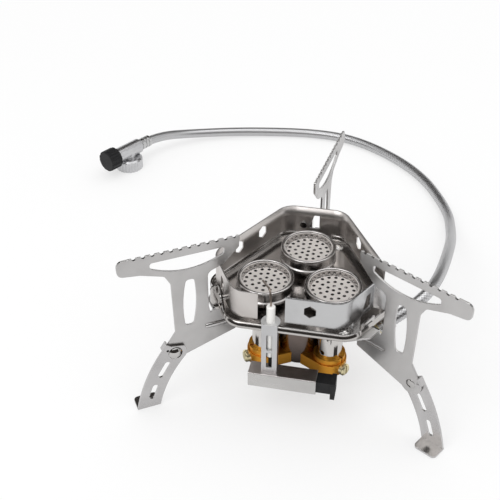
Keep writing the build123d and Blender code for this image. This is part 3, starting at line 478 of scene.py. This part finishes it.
# Painted shade: the drum's colour is darkened for the shadow under the base plate
DRUM = Metal("drum_painted_shade", (0.19, 0.155, 0.14), (0.14, 0.112, 0.1), (0.14, 0.24), grain_depth=0.02)
GOLD = Metal("gold_anodising", (0.78, 0.38, 0.05), (0.68, 0.3, 0.035), (0.38, 0.5), edge_colour=(0.9, 0.55, 0.16),
             grain_scale=2200.0)
BRASS = Metal("turned_brass", (0.84, 0.76, 0.5), (0.76, 0.67, 0.4), (0.28, 0.42), edge_colour=(0.93, 0.88, 0.68))
# Painted light: the case's top takes a lighter tone
CASE_SHEET = Metal("case_sheet", (0.57, 0.56, 0.55), (0.5, 0.49, 0.48), (0.22, 0.34), grain=Grain.ALONG_X,
                   top=(0.62, 0.58, 0.57), top_gloss=0.28)
# Painted light: the bracket's upward faces take a lighter tone
BRACKET_SHEET = Metal("bracket_sheet", (0.56, 0.56, 0.565), (0.5, 0.5, 0.505), (0.3, 0.42), grain=Grain.UPRIGHT,
                      top=(0.8, 0.8, 0.8), top_gloss=0.6)
WIRE = Metal("electrode_wire", (0.36, 0.3, 0.26), (0.28, 0.22, 0.19), (0.3, 0.45), edge_colour=(0.5, 0.44, 0.4))
FERRULE = Metal("crimped_sleeve", (0.6, 0.6, 0.6), (0.5, 0.5, 0.5), (0.18, 0.3))
VALVE_ALLOY = Metal("valve_alloy", (0.6, 0.6, 0.61), (0.52, 0.52, 0.53), (0.24, 0.38), grain_scale=1500.0)
BLACK = Moulding("black_moulding", (0.012, 0.012, 0.013), (0.02, 0.02, 0.021), (0.36, 0.55), (0.06, 0.06, 0.06),
                 shine=0.2)
CERAMIC = Moulding("glazed_ceramic", (0.88, 0.87, 0.85), (0.82, 0.81, 0.78), (0.2, 0.34), (0.95, 0.94, 0.92),
                   coat=0.4, texture_depth=0.02)
RUBBER = Moulding("soft_rubber", (0.02, 0.02, 0.02), (0.03, 0.03, 0.03), (0.5, 0.7), (0.07, 0.07, 0.07), shine=0.3)


class Wardrobe:
    """Built materials by finish, so that each finish is made once."""

    def __init__(self) -> None:
        """Start empty."""
        self.made: dict[str, bpy.types.Material] = {}

    def of(self, finish: Metal | Moulding | Braid) -> bpy.types.Material:
        """Return a finish's material, building it on first use."""
        if finish.name not in self.made:
            self.made[finish.name] = finish.material()
        return self.made[finish.name]

    def dress(self, finish: Metal | Moulding, *nodes: str) -> None:
        """Put a finish on CAD nodes.

        Args:
            finish: The finish.
            *nodes: The nodes' names.
        """
        for node in nodes:
            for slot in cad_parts[node].material_slots:
                slot.material = self.of(finish)
            LOG.info("dressed %s in %s", node, finish.name)


WARDROBE = Wardrobe()


def each_corner(*stems: str) -> list[str]:
    """Return node names for the three corners."""
    return ["%s_%s" % (stem, corner) for stem in stems for corner in CORNERS]


def bow(start: Spot, end: Spot, rise: float, steps: int = 24) -> list[Corner]:
    """Return the points of an edge that bows as a parabola, without its ends.

    Args:
        start: First point.
        end: Last point.
        rise: How far the middle stands to the left of the way from start to end.
        steps: Number of pieces.

    Returns:
        The points, as corners without rounding.
    """
    first, run = Vector(start), Vector(end) - Vector(start)
    left = Vector((-run.y, run.x)).normalized()
    shares = [step / steps for step in range(1, steps)]
    return [(*(first + run * share + left * (4.0 * rise * share * (1.0 - share))), 0.0) for share in shares]


def arc(middle: Spot, radius: float, first: float, last: float, steps: int = 24) -> list[Corner]:
    """Return the points of an arc between two directions in degrees, as corners without rounding."""
    turns = [math.radians(first + (last - first) * step / steps) for step in range(steps + 1)]
    return [(middle[0] + radius * math.cos(turn), middle[1] + radius * math.sin(turn), 0.0) for turn in turns]


def rounded_run(corners: Sequence[Corner], steps: int = 8) -> list[Vector]:
    """Round the corners of a closed outline.

    Args:
        corners: Its corners, each with the radius of its rounding.
        steps: Pieces of one rounding.

    Returns:
        The outline's points.
    """
    run = []
    for index, (x, y, radius) in enumerate(corners):
        here = Vector((x, y))
        if not radius:
            run.append(here)
            continue
        back, on = ((Vector(corners[i % len(corners)][:2]) - here).normalized() for i in (index - 1, index + 1))
        half = back.angle(on) / 2
        middle = here + (back + on).normalized() * (radius / math.sin(half))
        start, end = (here + way * (radius / math.tan(half)) - middle for way in (back, on))
        run += [middle + start.lerp(end, step / steps).normalized() * radius for step in range(steps + 1)]
    return run


def hole(middle: Spot, radius: float, sides: int = 24) -> list[Vector]:
    """Return the outline of a round hole."""
    return rounded_run(arc(middle, radius, 0.0, 360.0 * (sides - 1) / sides, sides - 1))


@dataclass
class PotSupports:
    """The folding arms and their legs. Sizes in millimetres and degrees; an arm is drawn outwards and up."""

    turns: dict[str, float] = field(default_factory=lambda: {"rear": 90.0, "left": 210.0, "right": 330.0})
    swings: dict[str, float] = field(default_factory=lambda: {"rear": -7.5, "left": 3.0, "right": -0.4})
    pivot: Point = (43.5, -15.8, 0.0)
    pivot_hole: float = 2.05
    eye: float = 5.5
    eye_arc: tuple[float, float] = (-48.7, -230.2)
    sheet: float = 1.2
    edge: float = 0.12
    edge_steps: int = 1
    crease: float = 20.0
    weld: float = 0.002
    notch_ends: tuple[float, float] = (42.1, 99.5)
    notches: int = 12
    notch_radius: float = 1.15
    notch_steps: int = 10
    notch_slope: float = 0.3
    rest_height: float = 110.0
    lug: Spot = (80.1, 37.4)
    lug_radius: float = 7.0
    lug_arc: tuple[float, float] = (33.5, -141.0)
    lug_hole: float = 1.9
    outer_edge: tuple[Corner, ...] = ((109.6, 110.0, 3.8), (109.3, 99.7, 3.8), (96.9, 98.0, 4.0), (83.4, 93.5, 3.0),
                                      (80.0, 87.0, 4.0), (79.04, 51.69, 0.0))
    inner_edge: tuple[Corner, ...] = ((42.0, 43.8, 1.0), (42.0, 54.2, 2.0), (48.5, 54.8, 0.0), (49.5, 62.7, 0.0),
                                      (56.0, 62.7, 0.0), (56.5, 60.5, 0.0), (57.4, 60.5, 0.0), (58.3, 65.1, 0.0),
                                      (58.3, 89.5, 4.0), (48.7, 93.1, 2.0), (39.6, 102.5, 1.5), (39.0, 110.0, 1.0))
    crescent: tuple[Corner, ...] = ((48.6, 100.2, 1.2), (48.2, 104.5, 1.2), (91.3, 104.5, 1.6), (91.0, 100.8, 1.4))
    crescent_sag: float = 5.6
    oval_middle: Spot = (69.45, 71.3)
    oval_half: Spot = (2.4, 16.3)
    oval_round: float = 2.0
    oval_bulge: float = 1.5
    oval_lean: float = 2.5
    oval_steps: int = 12
    tab: tuple[Corner, ...] = ((40.0, -11.6, 0.0), (49.5, -6.32, 0.0), (49.5, 0.6, 0.0), (56.0, 0.6, 0.0),
                               (56.0, -8.69, 0.0))
    tab_middle: float = 62.1
    dimple: Point = (84.6, -1.6, 40.38)
    dimple_radius: float = 1.6
    dimple_sides: tuple[int, int] = (24, 16)
    bead_ends: tuple[float, float] = (44.2, 61.0)
    bead_height: float = 50.9
    bead_half: float = 1.7
    bead_rise: float = 1.2
    bead_root: float = 0.2
    hollow_half: float = 1.5
    hollow_deep: float = 0.8
    end_steps: int = 14
    crown_steps: int = 8

    def place(self, corner: str) -> Matrix:
        """Return an arm's place at rest, turned about its pivot."""
        turn, swing = (Matrix.Rotation(math.radians(angle[corner]), 4, "Z") for angle in (self.turns, self.swings))
        return turn @ Matrix.Translation(self.pivot) @ swing @ Matrix.Translation(-Vector(self.pivot))

    def arm_runs(self) -> list[list[Vector]]:
        """Draw an arm's sheet.

        Returns:
            Its notched outline, the crescent under the pot rest, the oval and the leg's hole.
        """
        first, last = self.notch_ends
        teeth: list[Corner] = []
        for index in range(self.notches):
            at = first + (last - first) * index / (self.notches - 1)
            teeth += arc((at, self.rest_height), self.notch_radius, 180.0, 360.0, self.notch_steps)
        lug = arc(self.lug, self.lug_radius, *self.lug_arc)
        outer = rounded_run([*teeth, *self.outer_edge, *lug, *self.inner_edge])
        crescent = rounded_run([*self.crescent, *bow(self.crescent[-1][:2], self.crescent[0][:2], self.crescent_sag)])
        wide, tall = self.oval_half
        ends = [(wide, tall), (-wide, tall), (-wide, -tall), (wide, -tall)]
        corners = [(*end, self.oval_round) for end in ends]
        sides = [bow(ends[start], ends[end], -self.oval_bulge, self.oval_steps) for start, end in ((1, 2), (3, 0))]
        oval = rounded_run([*corners[:2], *sides[0], *corners[2:], *sides[1]])
        lean = Matrix.Rotation(math.radians(self.oval_lean), 2)
        oval = [lean @ point + Vector(self.oval_middle) for point in oval]
        return [outer, crescent, oval, hole(self.lug, self.lug_hole)]

    def tab_runs(self) -> list[list[Vector]]:
        """Draw the tab that is bent off the sheet, with the eye that the arm swings on."""
        eye = arc(self.pivot[:2], self.eye, *self.eye_arc)
        return [rounded_run([*self.tab, *eye]), hole(self.pivot[:2], self.pivot_hole)]

    def stamp(self, runs: list[list[Vector]], place: Matrix, into: bmesh.types.BMesh) -> None:
        """Stamp a sheet with rounded edges and add it to a mesh.

        Args:
            runs: The outline and its holes.
            place: Where the sheet's middle lies.
            into: The mesh.
        """
        curve = bpy.data.curves.new("stamping", "CURVE")
        curve.dimensions, curve.fill_mode = "2D", "BOTH"
        curve.extrude, curve.bevel_depth, curve.offset = self.sheet / 2 - self.edge, self.edge, -self.edge
        curve.bevel_resolution = self.edge_steps
        for run in runs:
            spline = curve.splines.new("POLY")
            spline.points.add(len(run) - 1)
            for point, spot in zip(spline.points, run):
                point.co = (*spot, 0.0, 1.0)
            spline.use_cyclic_u = True
        holder = put("stamping", curve)
        mesh = shaped(holder)
        bpy.data.objects.remove(holder)
        mesh.transform(place)
        into.from_mesh(mesh)
        bpy.data.meshes.remove(mesh)

    def press(self, arm: bpy.types.Object, place: Matrix) -> None:
        """Press the bead's hollow into an arm's back, and the dimple that the leg's hole clicks over.

        Args:
            arm: The arm's object.
            place: The arm's place.
        """
        punches = bmesh.new()
        around, upward = self.dimple_sides
        bmesh.ops.create_uvsphere(punches, u_segments=around, v_segments=upward, radius=self.dimple_radius * MM,
                                  matrix=Matrix.Translation(place @ Vector(self.dimple) * MM))
        mesh = self.ridge("arm_punches", place, -self.sheet / 2, self.hollow_half, self.hollow_deep)
        punches.from_mesh(mesh)
        punches.to_mesh(mesh)
        punches.free()
        punch = put("arm_punches", mesh)
        cut = arm.modifiers.new("pressed", "BOOLEAN")
        cut.operation, cut.solver, cut.object = "DIFFERENCE", "EXACT", punch
        pressed = shaped(arm)
        arm.modifiers.remove(cut)
        plain, arm.data = arm.data, pressed
        bpy.data.meshes.remove(plain)
        bpy.data.objects.remove(punch)
        arm.data.name = arm.name

    def build_arm(self, corner: str) -> None:
        """Build one arm's sheet and its bent tab.

        Args:
            corner: The arm's corner.
        """
        place = self.place(corner)
        name = "arm_plate_" + corner
        sheet = bmesh.new()
        self.stamp(self.arm_runs(), place @ Matrix.Rotation(math.pi / 2, 4, "X"), sheet)
        self.stamp(self.tab_runs(), place @ Matrix.Translation((0.0, 0.0, self.tab_middle)), sheet)
        bmesh.ops.remove_doubles(sheet, verts=sheet.verts, dist=self.weld)
        bmesh.ops.recalc_face_normals(sheet, faces=sheet.faces)
        bmesh.ops.scale(sheet, verts=sheet.verts, vec=(MM, MM, MM))
        mesh = bpy.data.meshes.new(name)
        sheet.to_mesh(mesh)
        sheet.free()
        arm = put(name, mesh)
        self.press(arm, place)
        arm.data.shade_smooth()
        arm.data.set_sharp_from_angle(angle=math.radians(self.crease))
        self.settle(arm, SATIN_SHEET, corner)
        self.darken_notches(arm)
        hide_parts("arm_" + corner)

    def settle(self, piece: bpy.types.Object, finish: Metal, corner: str) -> None:
        """Dress a new piece and let it ride on its arm.

        Args:
            piece: The piece.
            finish: Its finish.
            corner: The arm's corner.
        """
        piece.data.materials.clear()
        piece.data.materials.append(WARDROBE.of(finish))
        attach(piece, "arm_" + corner)
        LOG.info("built %s", piece.name)

    def ridge(self, name: str, place: Matrix, face: float, half: float, rise: float) -> bpy.types.Mesh:
        """Make a half-round ridge along an arm's tongue, for its bead or for the hollow behind it.

        Args:
            name: The mesh's name.
            place: The arm's place.
            face: The side of the sheet that the ridge stands on.
            half: Half its width.
            rise: Its height.

        Returns:
            The closed mesh.
        """
        sizes = [(half, -self.bead_root)]
        for step in range(self.crown_steps):
            angle = math.radians(90.0 * step / self.crown_steps)
            sizes.append((half * math.cos(angle), rise * math.sin(angle)))
        inner, outer = self.bead_ends
        verts, count = [], 0
        for wide, out in sizes:
            ring = [*arc((outer - half, self.bead_height), wide, -90.0, 90.0, self.end_steps),
                    *arc((inner + half, self.bead_height), wide, 90.0, 270.0, self.end_steps)]
            count = len(ring)
            verts += [place @ Vector((x, face + out, z)) * MM for x, z, _ in ring]
        faces: list[tuple[int, ...]] = [tuple(range(count))]
        for low in range(0, len(verts) - count, count):
            for i in range(count):
                after = (i + 1) % count
                faces.append((low + after, low + i, low + i + count, low + after + count))
        faces.append(tuple(reversed(range(len(verts) - count, len(verts)))))
        mesh = bpy.data.meshes.new(name)
        mesh.from_pydata(verts, [], faces)
        return mesh

    def build_bead(self, corner: str) -> None:
        """Build one arm's bead.

        Args:
            corner: The arm's corner.
        """
        mesh = self.ridge("arm_bead_" + corner, self.place(corner), self.sheet / 2, self.bead_half, self.bead_rise)
        mesh.shade_smooth()
        self.settle(put("arm_bead_" + corner, mesh), BEAD_SHEET, corner)

    def darken_notches(self, arm: bpy.types.Object) -> None:
        """Paint shade into an arm's notches: their upward faces get a dark finish of their own.

        Args:
            arm: The arm's object.
        """
        arm.data.materials.append(WARDROBE.of(NOTCH_SHADE))
        low, high = self.rest_height - self.notch_radius - self.edge, self.rest_height - 2 * self.edge
        for face in arm.data.polygons:
            if low < face.center.z / MM < high and face.normal.z > self.notch_slope:
                face.material_index = 1

    def build(self) -> None:
        """Build the arms and their beads."""
        for corner in CORNERS:
            self.build_arm(corner)
            self.build_bead(corner)

    def dress(self) -> None:
        """Finish the legs and the rivets."""
        WARDROBE.dress(LEG_SHEET, *each_corner("leg"))
        WARDROBE.dress(RIVET, "arm_pivots", *each_corner("leg_rivet"))


class Tray:
    """The base plate and the windshield on it."""

    def dress(self) -> None:
        """Finish the polished and satin sheet."""
        WARDROBE.dress(TRAY_SHEET, "base_plate")
        WARDROBE.dress(WALL_SHEET, "windshield_rear")
        WARDROBE.dress(SHIELD_SHEET, "windshield_front")
        WARDROBE.dress(RIVET, "windshield_pins", "windshield_rivets")


class Burners:
    """The burner heads, their tubes and the gas way under them."""

    def dress(self) -> None:
        """Finish cups, discs, tubes, blocks and screws."""
        WARDROBE.dress(BURNER_CUP, *each_corner("burner_cup"))
        WARDROBE.dress(PAN, *each_corner("burner_disc"))
        WARDROBE.dress(TUBE, *each_corner("mixing_tube"))
        WARDROBE.dress(DRUM, "gas_chamber")
        WARDROBE.dress(GOLD, *each_corner("gas_block"))
        WARDROBE.dress(BRASS, "block_screws", "gas_jets")


class Igniter:
    """The spark igniter under the front edge."""

    def dress(self) -> None:
        """Finish the case, bracket, button and electrode."""
        WARDROBE.dress(CASE_SHEET, "igniter_case")
        WARDROBE.dress(BRACKET_SHEET, "igniter_bracket")
        WARDROBE.dress(BLACK, "piezo_unit", "igniter_button")
        WARDROBE.dress(CERAMIC, "insulator")
        WARDROBE.dress(WIRE, "spark_electrode")
        WARDROBE.dress(RUBBER, "ignition_lead")


@dataclass
class Hose:
    """The braided hose: a tube with woven relief on the route of its CAD solid. Sizes in millimetres."""

    radius: float = 3.7
    strand_rise: float = 0.3
    strands: int = 10
    turn_length: float = 22.0
    sides: int = 60
    step: float = 0.5
    strand_level: float = 0.8
    strand_cross: float = 0.5
    line_order: int = 3
    line_steps: int = 64
    length: float = 537.6
    start: Point = (47.009, 1.985, 38.304)
    route: list[Point] = field(default_factory=lambda: [
        (64.905, 12.317, 47.939),
        (78.6, 33.6, 52.4),
        (86.1, 93.0, 38.5),
        (88.5, 150.0, 11.0),
        (85.0, 192.0, 3.75),
        (59.5, 243.5, 3.75),
        (12.6, 281.1, 3.75),
        (-27.3, 290.5, 3.75),
        (-90.0, 281.5, 3.75),
        (-136.0, 262.0, 7.0),
        (-160.0, 238.0, 15.0),
        (-170.0, 221.0, 15.0),
    ])

    def line(self) -> list[Vector]:
        """Read evenly spaced points from the route's smooth line.

        Returns:
            The points in metres.
        """
        curve = bpy.data.curves.new("hose_route", "CURVE")
        curve.dimensions = "3D"
        spline = curve.splines.new("NURBS")
        places = [self.start, *self.route]
        spline.points.add(len(places) - 1)
        for point, place in zip(spline.points, places):
            point.co = (*(Vector(place) * MM), 1.0)
        spline.order_u = self.line_order
        spline.use_endpoint_u = True
        spline.resolution_u = self.line_steps
        holder = put("hose_route", curve)
        mesh = shaped(holder)
        points = [vertex.co.copy() for vertex in mesh.vertices]
        bpy.data.objects.remove(holder)
        bpy.data.meshes.remove(mesh)
        return self.even(points)

    def even(self, points: list[Vector]) -> list[Vector]:
        """Space points evenly along their line.

        Args:
            points: The line's points in metres.

        Returns:
            Points about one step apart.
        """
        marks = [0.0]
        for before, after in zip(points, points[1:]):
            marks.append(marks[-1] + (after - before).length)
        count = round(marks[-1] / (self.step * MM))
        spaced, at = [], 0
        for index in range(count + 1):
            want = marks[-1] * index / count
            while at < len(marks) - 2 and marks[at + 1] < want:
                at += 1
            share = (want - marks[at]) / max(marks[at + 1] - marks[at], TINY)
            spaced.append(points[at].lerp(points[at + 1], min(share, 1.0)))
        return spaced

    def weave(self, turn: float, along: float) -> float:
        """Return the height of the braid's strands, from 0 in the gaps to 1 on the crowns.

        Args:
            turn: Angle round the hose, in turns.
            along: Distance along the hose in millimetres.

        Returns:
            The height.
        """
        first = self.strands * (turn + along / self.turn_length)
        second = self.strands * (turn - along / self.turn_length)
        over = self.strand_cross * math.sin(math.pi * first) * math.sin(math.pi * second)
        crowns = [math.sqrt(max(0.0, 1.0 - (2.0 * (phase % 1.0) - 1.0) ** 2)) for phase in (first, second)]
        return max(crowns[0] + over, crowns[1] - over) / (1.0 + self.strand_cross)

    def build(self) -> None:
        points = self.line()
        verts, heights, faces = [], [], []
        side = Vector((0.0, 0.0, 1.0))
        for index, place in enumerate(points):
            ahead = points[min(index + 1, len(points) - 1)] - points[max(index - 1, 0)]
            ahead.normalize()
            side = (side - ahead * side.dot(ahead)).normalized()
            across = ahead.cross(side)
            for spoke in range(self.sides):
                turn = spoke / self.sides
                height = self.weave(turn, index * self.step)
                out = (self.radius + self.strand_rise * (height - self.strand_level)) * MM
                angle = math.tau * turn
                verts.append(place + (side * math.cos(angle) + across * math.sin(angle)) * out)
                heights.append(height)
        for ring in range(len(points) - 1):
            for spoke in range(self.sides):
                after = (spoke + 1) % self.sides
                low, high = ring * self.sides, (ring + 1) * self.sides
                faces.append((low + spoke, low + after, high + after, high + spoke))
        last = (len(points) - 1) * self.sides
        faces.append(tuple(reversed(range(self.sides))))
        faces.append(tuple(range(last, last + self.sides)))
        mesh = bpy.data.meshes.new("woven_hose")
        mesh.from_pydata(verts, [], faces)
        mesh.shade_smooth()
        braid = Braid()
        mesh.attributes.new(braid.attribute, "FLOAT", "POINT").data.foreach_set("value", heights)
        mesh.materials.append(WARDROBE.of(braid))
        hose = put("woven_hose", mesh)
        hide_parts("braided_hose")
        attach(hose, ROOT)
        LOG.info("built woven_hose with %d rings", len(points))


class GasLine:
    """The inlet, the hose and the valve at its far end."""

    def build(self) -> None:
        """Build the hose."""
        Hose().build()

    def dress(self) -> None:
        """Finish the fittings and the valve."""
        WARDROBE.dress(BRASS, "inlet_pipe", "hose_nut")
        WARDROBE.dress(FERRULE, "hose_ferrules")
        WARDROBE.dress(VALVE_ALLOY, "valve_body")
        WARDROBE.dress(RUBBER, "valve_seal")
        WARDROBE.dress(BLACK, "valve_knob")


def square(half: float, height: float) -> list[Point]:
    """Return the corners of a level square."""
    return [(x, y, height) for x, y in ((-half, -half), (half, -half), (half, half), (-half, half))]


@dataclass(frozen=True)
class Card:
    """A dark card that stands round the set: its first and last directions and elevations in degrees."""

    name: str
    first: float
    last: float
    low: float
    high: float


@dataclass(frozen=True)
class Lamp:
    """A square soft lamp that faces the stove: its place and side in metres, and its power in watts."""

    name: str
    place: Point
    size: float
    power: float


@dataclass
class Studio:
    """A white surround, soft lamps and the camera at the photograph's angle. Sizes in metres and degrees."""

    aim: Point = (-0.0348, 0.0176, 0.0729)
    azimuth: float = 11.62
    elevation: float = 36.38
    distance: float = 0.57423
    lens: float = 68.4
    sensor: float = 36.0
    near_clip: float = 0.01
    floor_half: float = 4.0
    floor_colour: Colour = (0.9, 0.9, 0.9)
    floor_drop: float = 0.0002
    floor_glow: float = 0.6
    floor_near: float = 0.3
    floor_far: float = 1.2
    surround_light: float = 0.85
    card_radius: float = 1.1
    card_colour: Colour = (0.05, 0.045, 0.042)
    card_steps: int = 12
    cards: tuple[Card, ...] = (Card("back_card", 35.0, 165.0, 16.0, 62.0),
                               Card("front_card", 195.0, 345.0, 1.0, 42.0))
    lamps: tuple[Lamp, ...] = (Lamp("key_lamp", (-0.5, -0.7, 1.1), 0.7, 4.0),
                               Lamp("top_lamp", (0.3, 0.3, 1.3), 0.9, 3.0))
    # Painted shadow under the stove, seen only in metal: dark to ground_dark, gone at ground_clear, with streaks
    # under the arms
    ground_dark: float = 0.03
    ground_clear: float = 0.056
    streak_reach: float = 0.07
    streak_share: float = 0.82

    def surround_share(self, tree: Tree) -> Socket:
        """Tell the rays that see the white surround from the rest.

        Args:
            tree: The material's or world's tree.

        Returns:
            1 for those rays, else 0.
        """
        path = tree.add("LightPath").outputs
        share = path[Ray.CAMERA.value]
        for ray in (Ray.GLOSSY, Ray.TRANSMISSION):
            share = tree.math("MAXIMUM", share, path[ray.value])
        return share

    def world(self) -> None:
        """Make the white surround."""
        world = bpy.data.worlds.new("white_surround")
        world.use_nodes = True
        bpy.context.scene.world = world
        tree = Tree(world.node_tree)
        lit = world.node_tree.nodes["Background"]
        lit.inputs["Color"].default_value = rgba(WHITE)
        lit.inputs["Strength"].default_value = self.surround_light
        seen = tree.add("Background", {"Color": rgba(WHITE), "Strength": 1.0})
        mixed = tree.add("MixShader", {0: self.surround_share(tree), 1: lit.outputs[0], 2: seen.outputs[0]})
        tree.feed(world.node_tree.nodes["World Output"].inputs["Surface"], mixed.outputs[0])

    @staticmethod
    def glowing(name: str, colour: Colour) -> tuple[bpy.types.Material, Tree, bpy.types.Node]:
        """Start a material that shows one colour in any light.

        Args:
            name: The material's name.
            colour: The colour.

        Returns:
            The material, its tree and its shader, already on the surface.
        """
        made, tree, plain = new_surface(name)
        made.node_tree.nodes.remove(plain)
        glow = tree.add("Emission", {"Color": rgba(colour), "Strength": 1.0})
        tree.feed(made.node_tree.nodes["Material Output"].inputs["Surface"], glow.outputs[0])
        return made, tree, glow

    def floor(self) -> None:
        """Lay the pale floor."""
        mesh = bpy.data.meshes.new("floor")
        mesh.from_pydata(square(self.floor_half, -self.floor_drop), [], [(0, 1, 2, 3)])
        made, tree, glow = self.glowing("pale_floor", WHITE)
        paint = tree.add("BsdfDiffuse", {"Color": rgba(self.floor_colour)})
        place = tree.add("TexCoord").outputs["Object"]
        reach = tree.add("VectorMath", {0: place}, operation="LENGTH").outputs["Value"]
        whiter = tree.add("MapRange", {"Value": reach, "From Min": self.floor_near, "From Max": self.floor_far,
                                       "To Min": self.floor_glow, "To Max": 1.0}).outputs["Result"]
        share = tree.math("MULTIPLY", self.surround_share(tree), whiter)
        mixed = tree.add("MixShader", {0: share, 1: paint.outputs[0], 2: glow.outputs[0]})
        tree.feed(made.node_tree.nodes["Material Output"].inputs["Surface"], mixed.outputs[0])
        mesh.materials.append(made)
        floor = put("floor", mesh)

    def only_in_metal(self, name: str, verts: list[Point], faces: list[tuple], paint: bpy.types.Material) -> None:
        """Add a card that nothing but polished metal shows.

        Args:
            name: The card's name.
            verts: Its points.
            faces: Its faces.
            paint: Its material.
        """
        mesh = bpy.data.meshes.new(name)
        mesh.from_pydata(verts, [], faces)
        mesh.materials.append(paint)
        card = put(name, mesh)
        card.visible_camera = False
        card.visible_diffuse = False
        card.visible_transmission = False
        card.visible_shadow = False

    def dark_cards(self) -> None:
        """Stand the dark cards round the set."""
        paint = self.glowing("dark_card", self.card_colour)[0]
        for card in self.cards:
            ring = arc((0.0, 0.0), self.card_radius, card.first, card.last, self.card_steps)
            rises = [self.card_radius * math.tan(math.radians(rise)) for rise in (card.low, card.high)]
            verts = [(x, y, z) for x, y, _ in ring for z in rises]
            faces = [(2 * i, 2 * i + 2, 2 * i + 3, 2 * i + 1) for i in range(self.card_steps)]
            self.only_in_metal(card.name, verts, faces, paint)

    def painted_ground_shadow(self) -> None:
        """Lay a painted shadow, seen only in metal, under the stove and under each arm, fading towards the feet."""
        paint, tree, dark = self.glowing("painted_ground_shadow", self.card_colour)
        place = tree.add("TexCoord").outputs["Object"]
        reach = tree.add("VectorMath", {0: place}, operation="LENGTH").outputs["Value"]
        fade = tree.between(reach, self.ground_dark, self.ground_clear)
        parts = tree.add("SeparateXYZ", {0: place}).outputs
        # Painted shadow streaks under the three arms
        turn = tree.math("MULTIPLY", tree.math("ARCTAN2", parts["X"], parts["Y"]), float(len(CORNERS)))
        open_floor = tree.math("LESS_THAN", tree.math("COSINE", turn), self.streak_share)
        beyond = tree.math("GREATER_THAN", reach, self.streak_reach)
        clear = tree.math("MULTIPLY", fade, tree.math("MAXIMUM", open_floor, beyond))
        mixed = tree.add("MixShader", {0: clear, 1: dark.outputs[0], 2: tree.add("BsdfTransparent").outputs[0]})
        tree.feed(paint.node_tree.nodes["Material Output"].inputs["Surface"], mixed.outputs[0])
        self.only_in_metal("painted_ground_shadow", square(self.streak_reach, -self.floor_drop / 2), [(0, 1, 2, 3)], paint)

    def hang(self, lamp: Lamp) -> None:
        """Hang one lamp.

        Args:
            lamp: The lamp.
        """
        light = bpy.data.lights.new(lamp.name, "AREA")
        light.size = lamp.size
        light.energy = lamp.power
        hung = put(lamp.name, light)
        hung.location = lamp.place
        hung.rotation_mode = "QUATERNION"
        hung.rotation_quaternion = (Vector(self.aim) - Vector(lamp.place)).to_track_quat("-Z", "Y")

    def camera(self) -> None:
        """Set the camera where the photograph was taken."""
        turn, rise = math.radians(self.azimuth), math.radians(self.elevation)
        back = Vector((math.sin(turn) * math.cos(rise), -math.cos(turn) * math.cos(rise), math.sin(rise)))
        data = bpy.data.cameras.new("camera")
        data.lens = self.lens
        data.sensor_width = self.sensor
        data.clip_start = self.near_clip
        camera = put("camera", data)
        camera.location = Vector(self.aim) + back * self.distance
        camera.rotation_mode = "QUATERNION"
        camera.rotation_quaternion = (-back).to_track_quat("-Z", "Y")
        bpy.context.scene.camera = camera

    def build(self) -> None:
        """Set up the whole studio."""
        self.world()
        self.floor()
        self.dark_cards()
        self.painted_ground_shadow()
        for lamp in self.lamps:
            self.hang(lamp)
        self.camera()
        bpy.context.scene.view_settings.view_transform = "Standard"


def main() -> None:
    """Build the studio and every sub-assembly."""
    logging.basicConfig(level=logging.INFO, format="%(name)s: %(message)s")
    Studio().build()
    supports, gas_line = PotSupports(), GasLine()
    gas_line.build()
    supports.build()
    for assembly in (supports, Tray(), Burners(), Igniter(), gas_line):
        assembly.dress()
        LOG.info("finished %s", type(assembly).__name__)


if __name__ == "__main__":
    main()
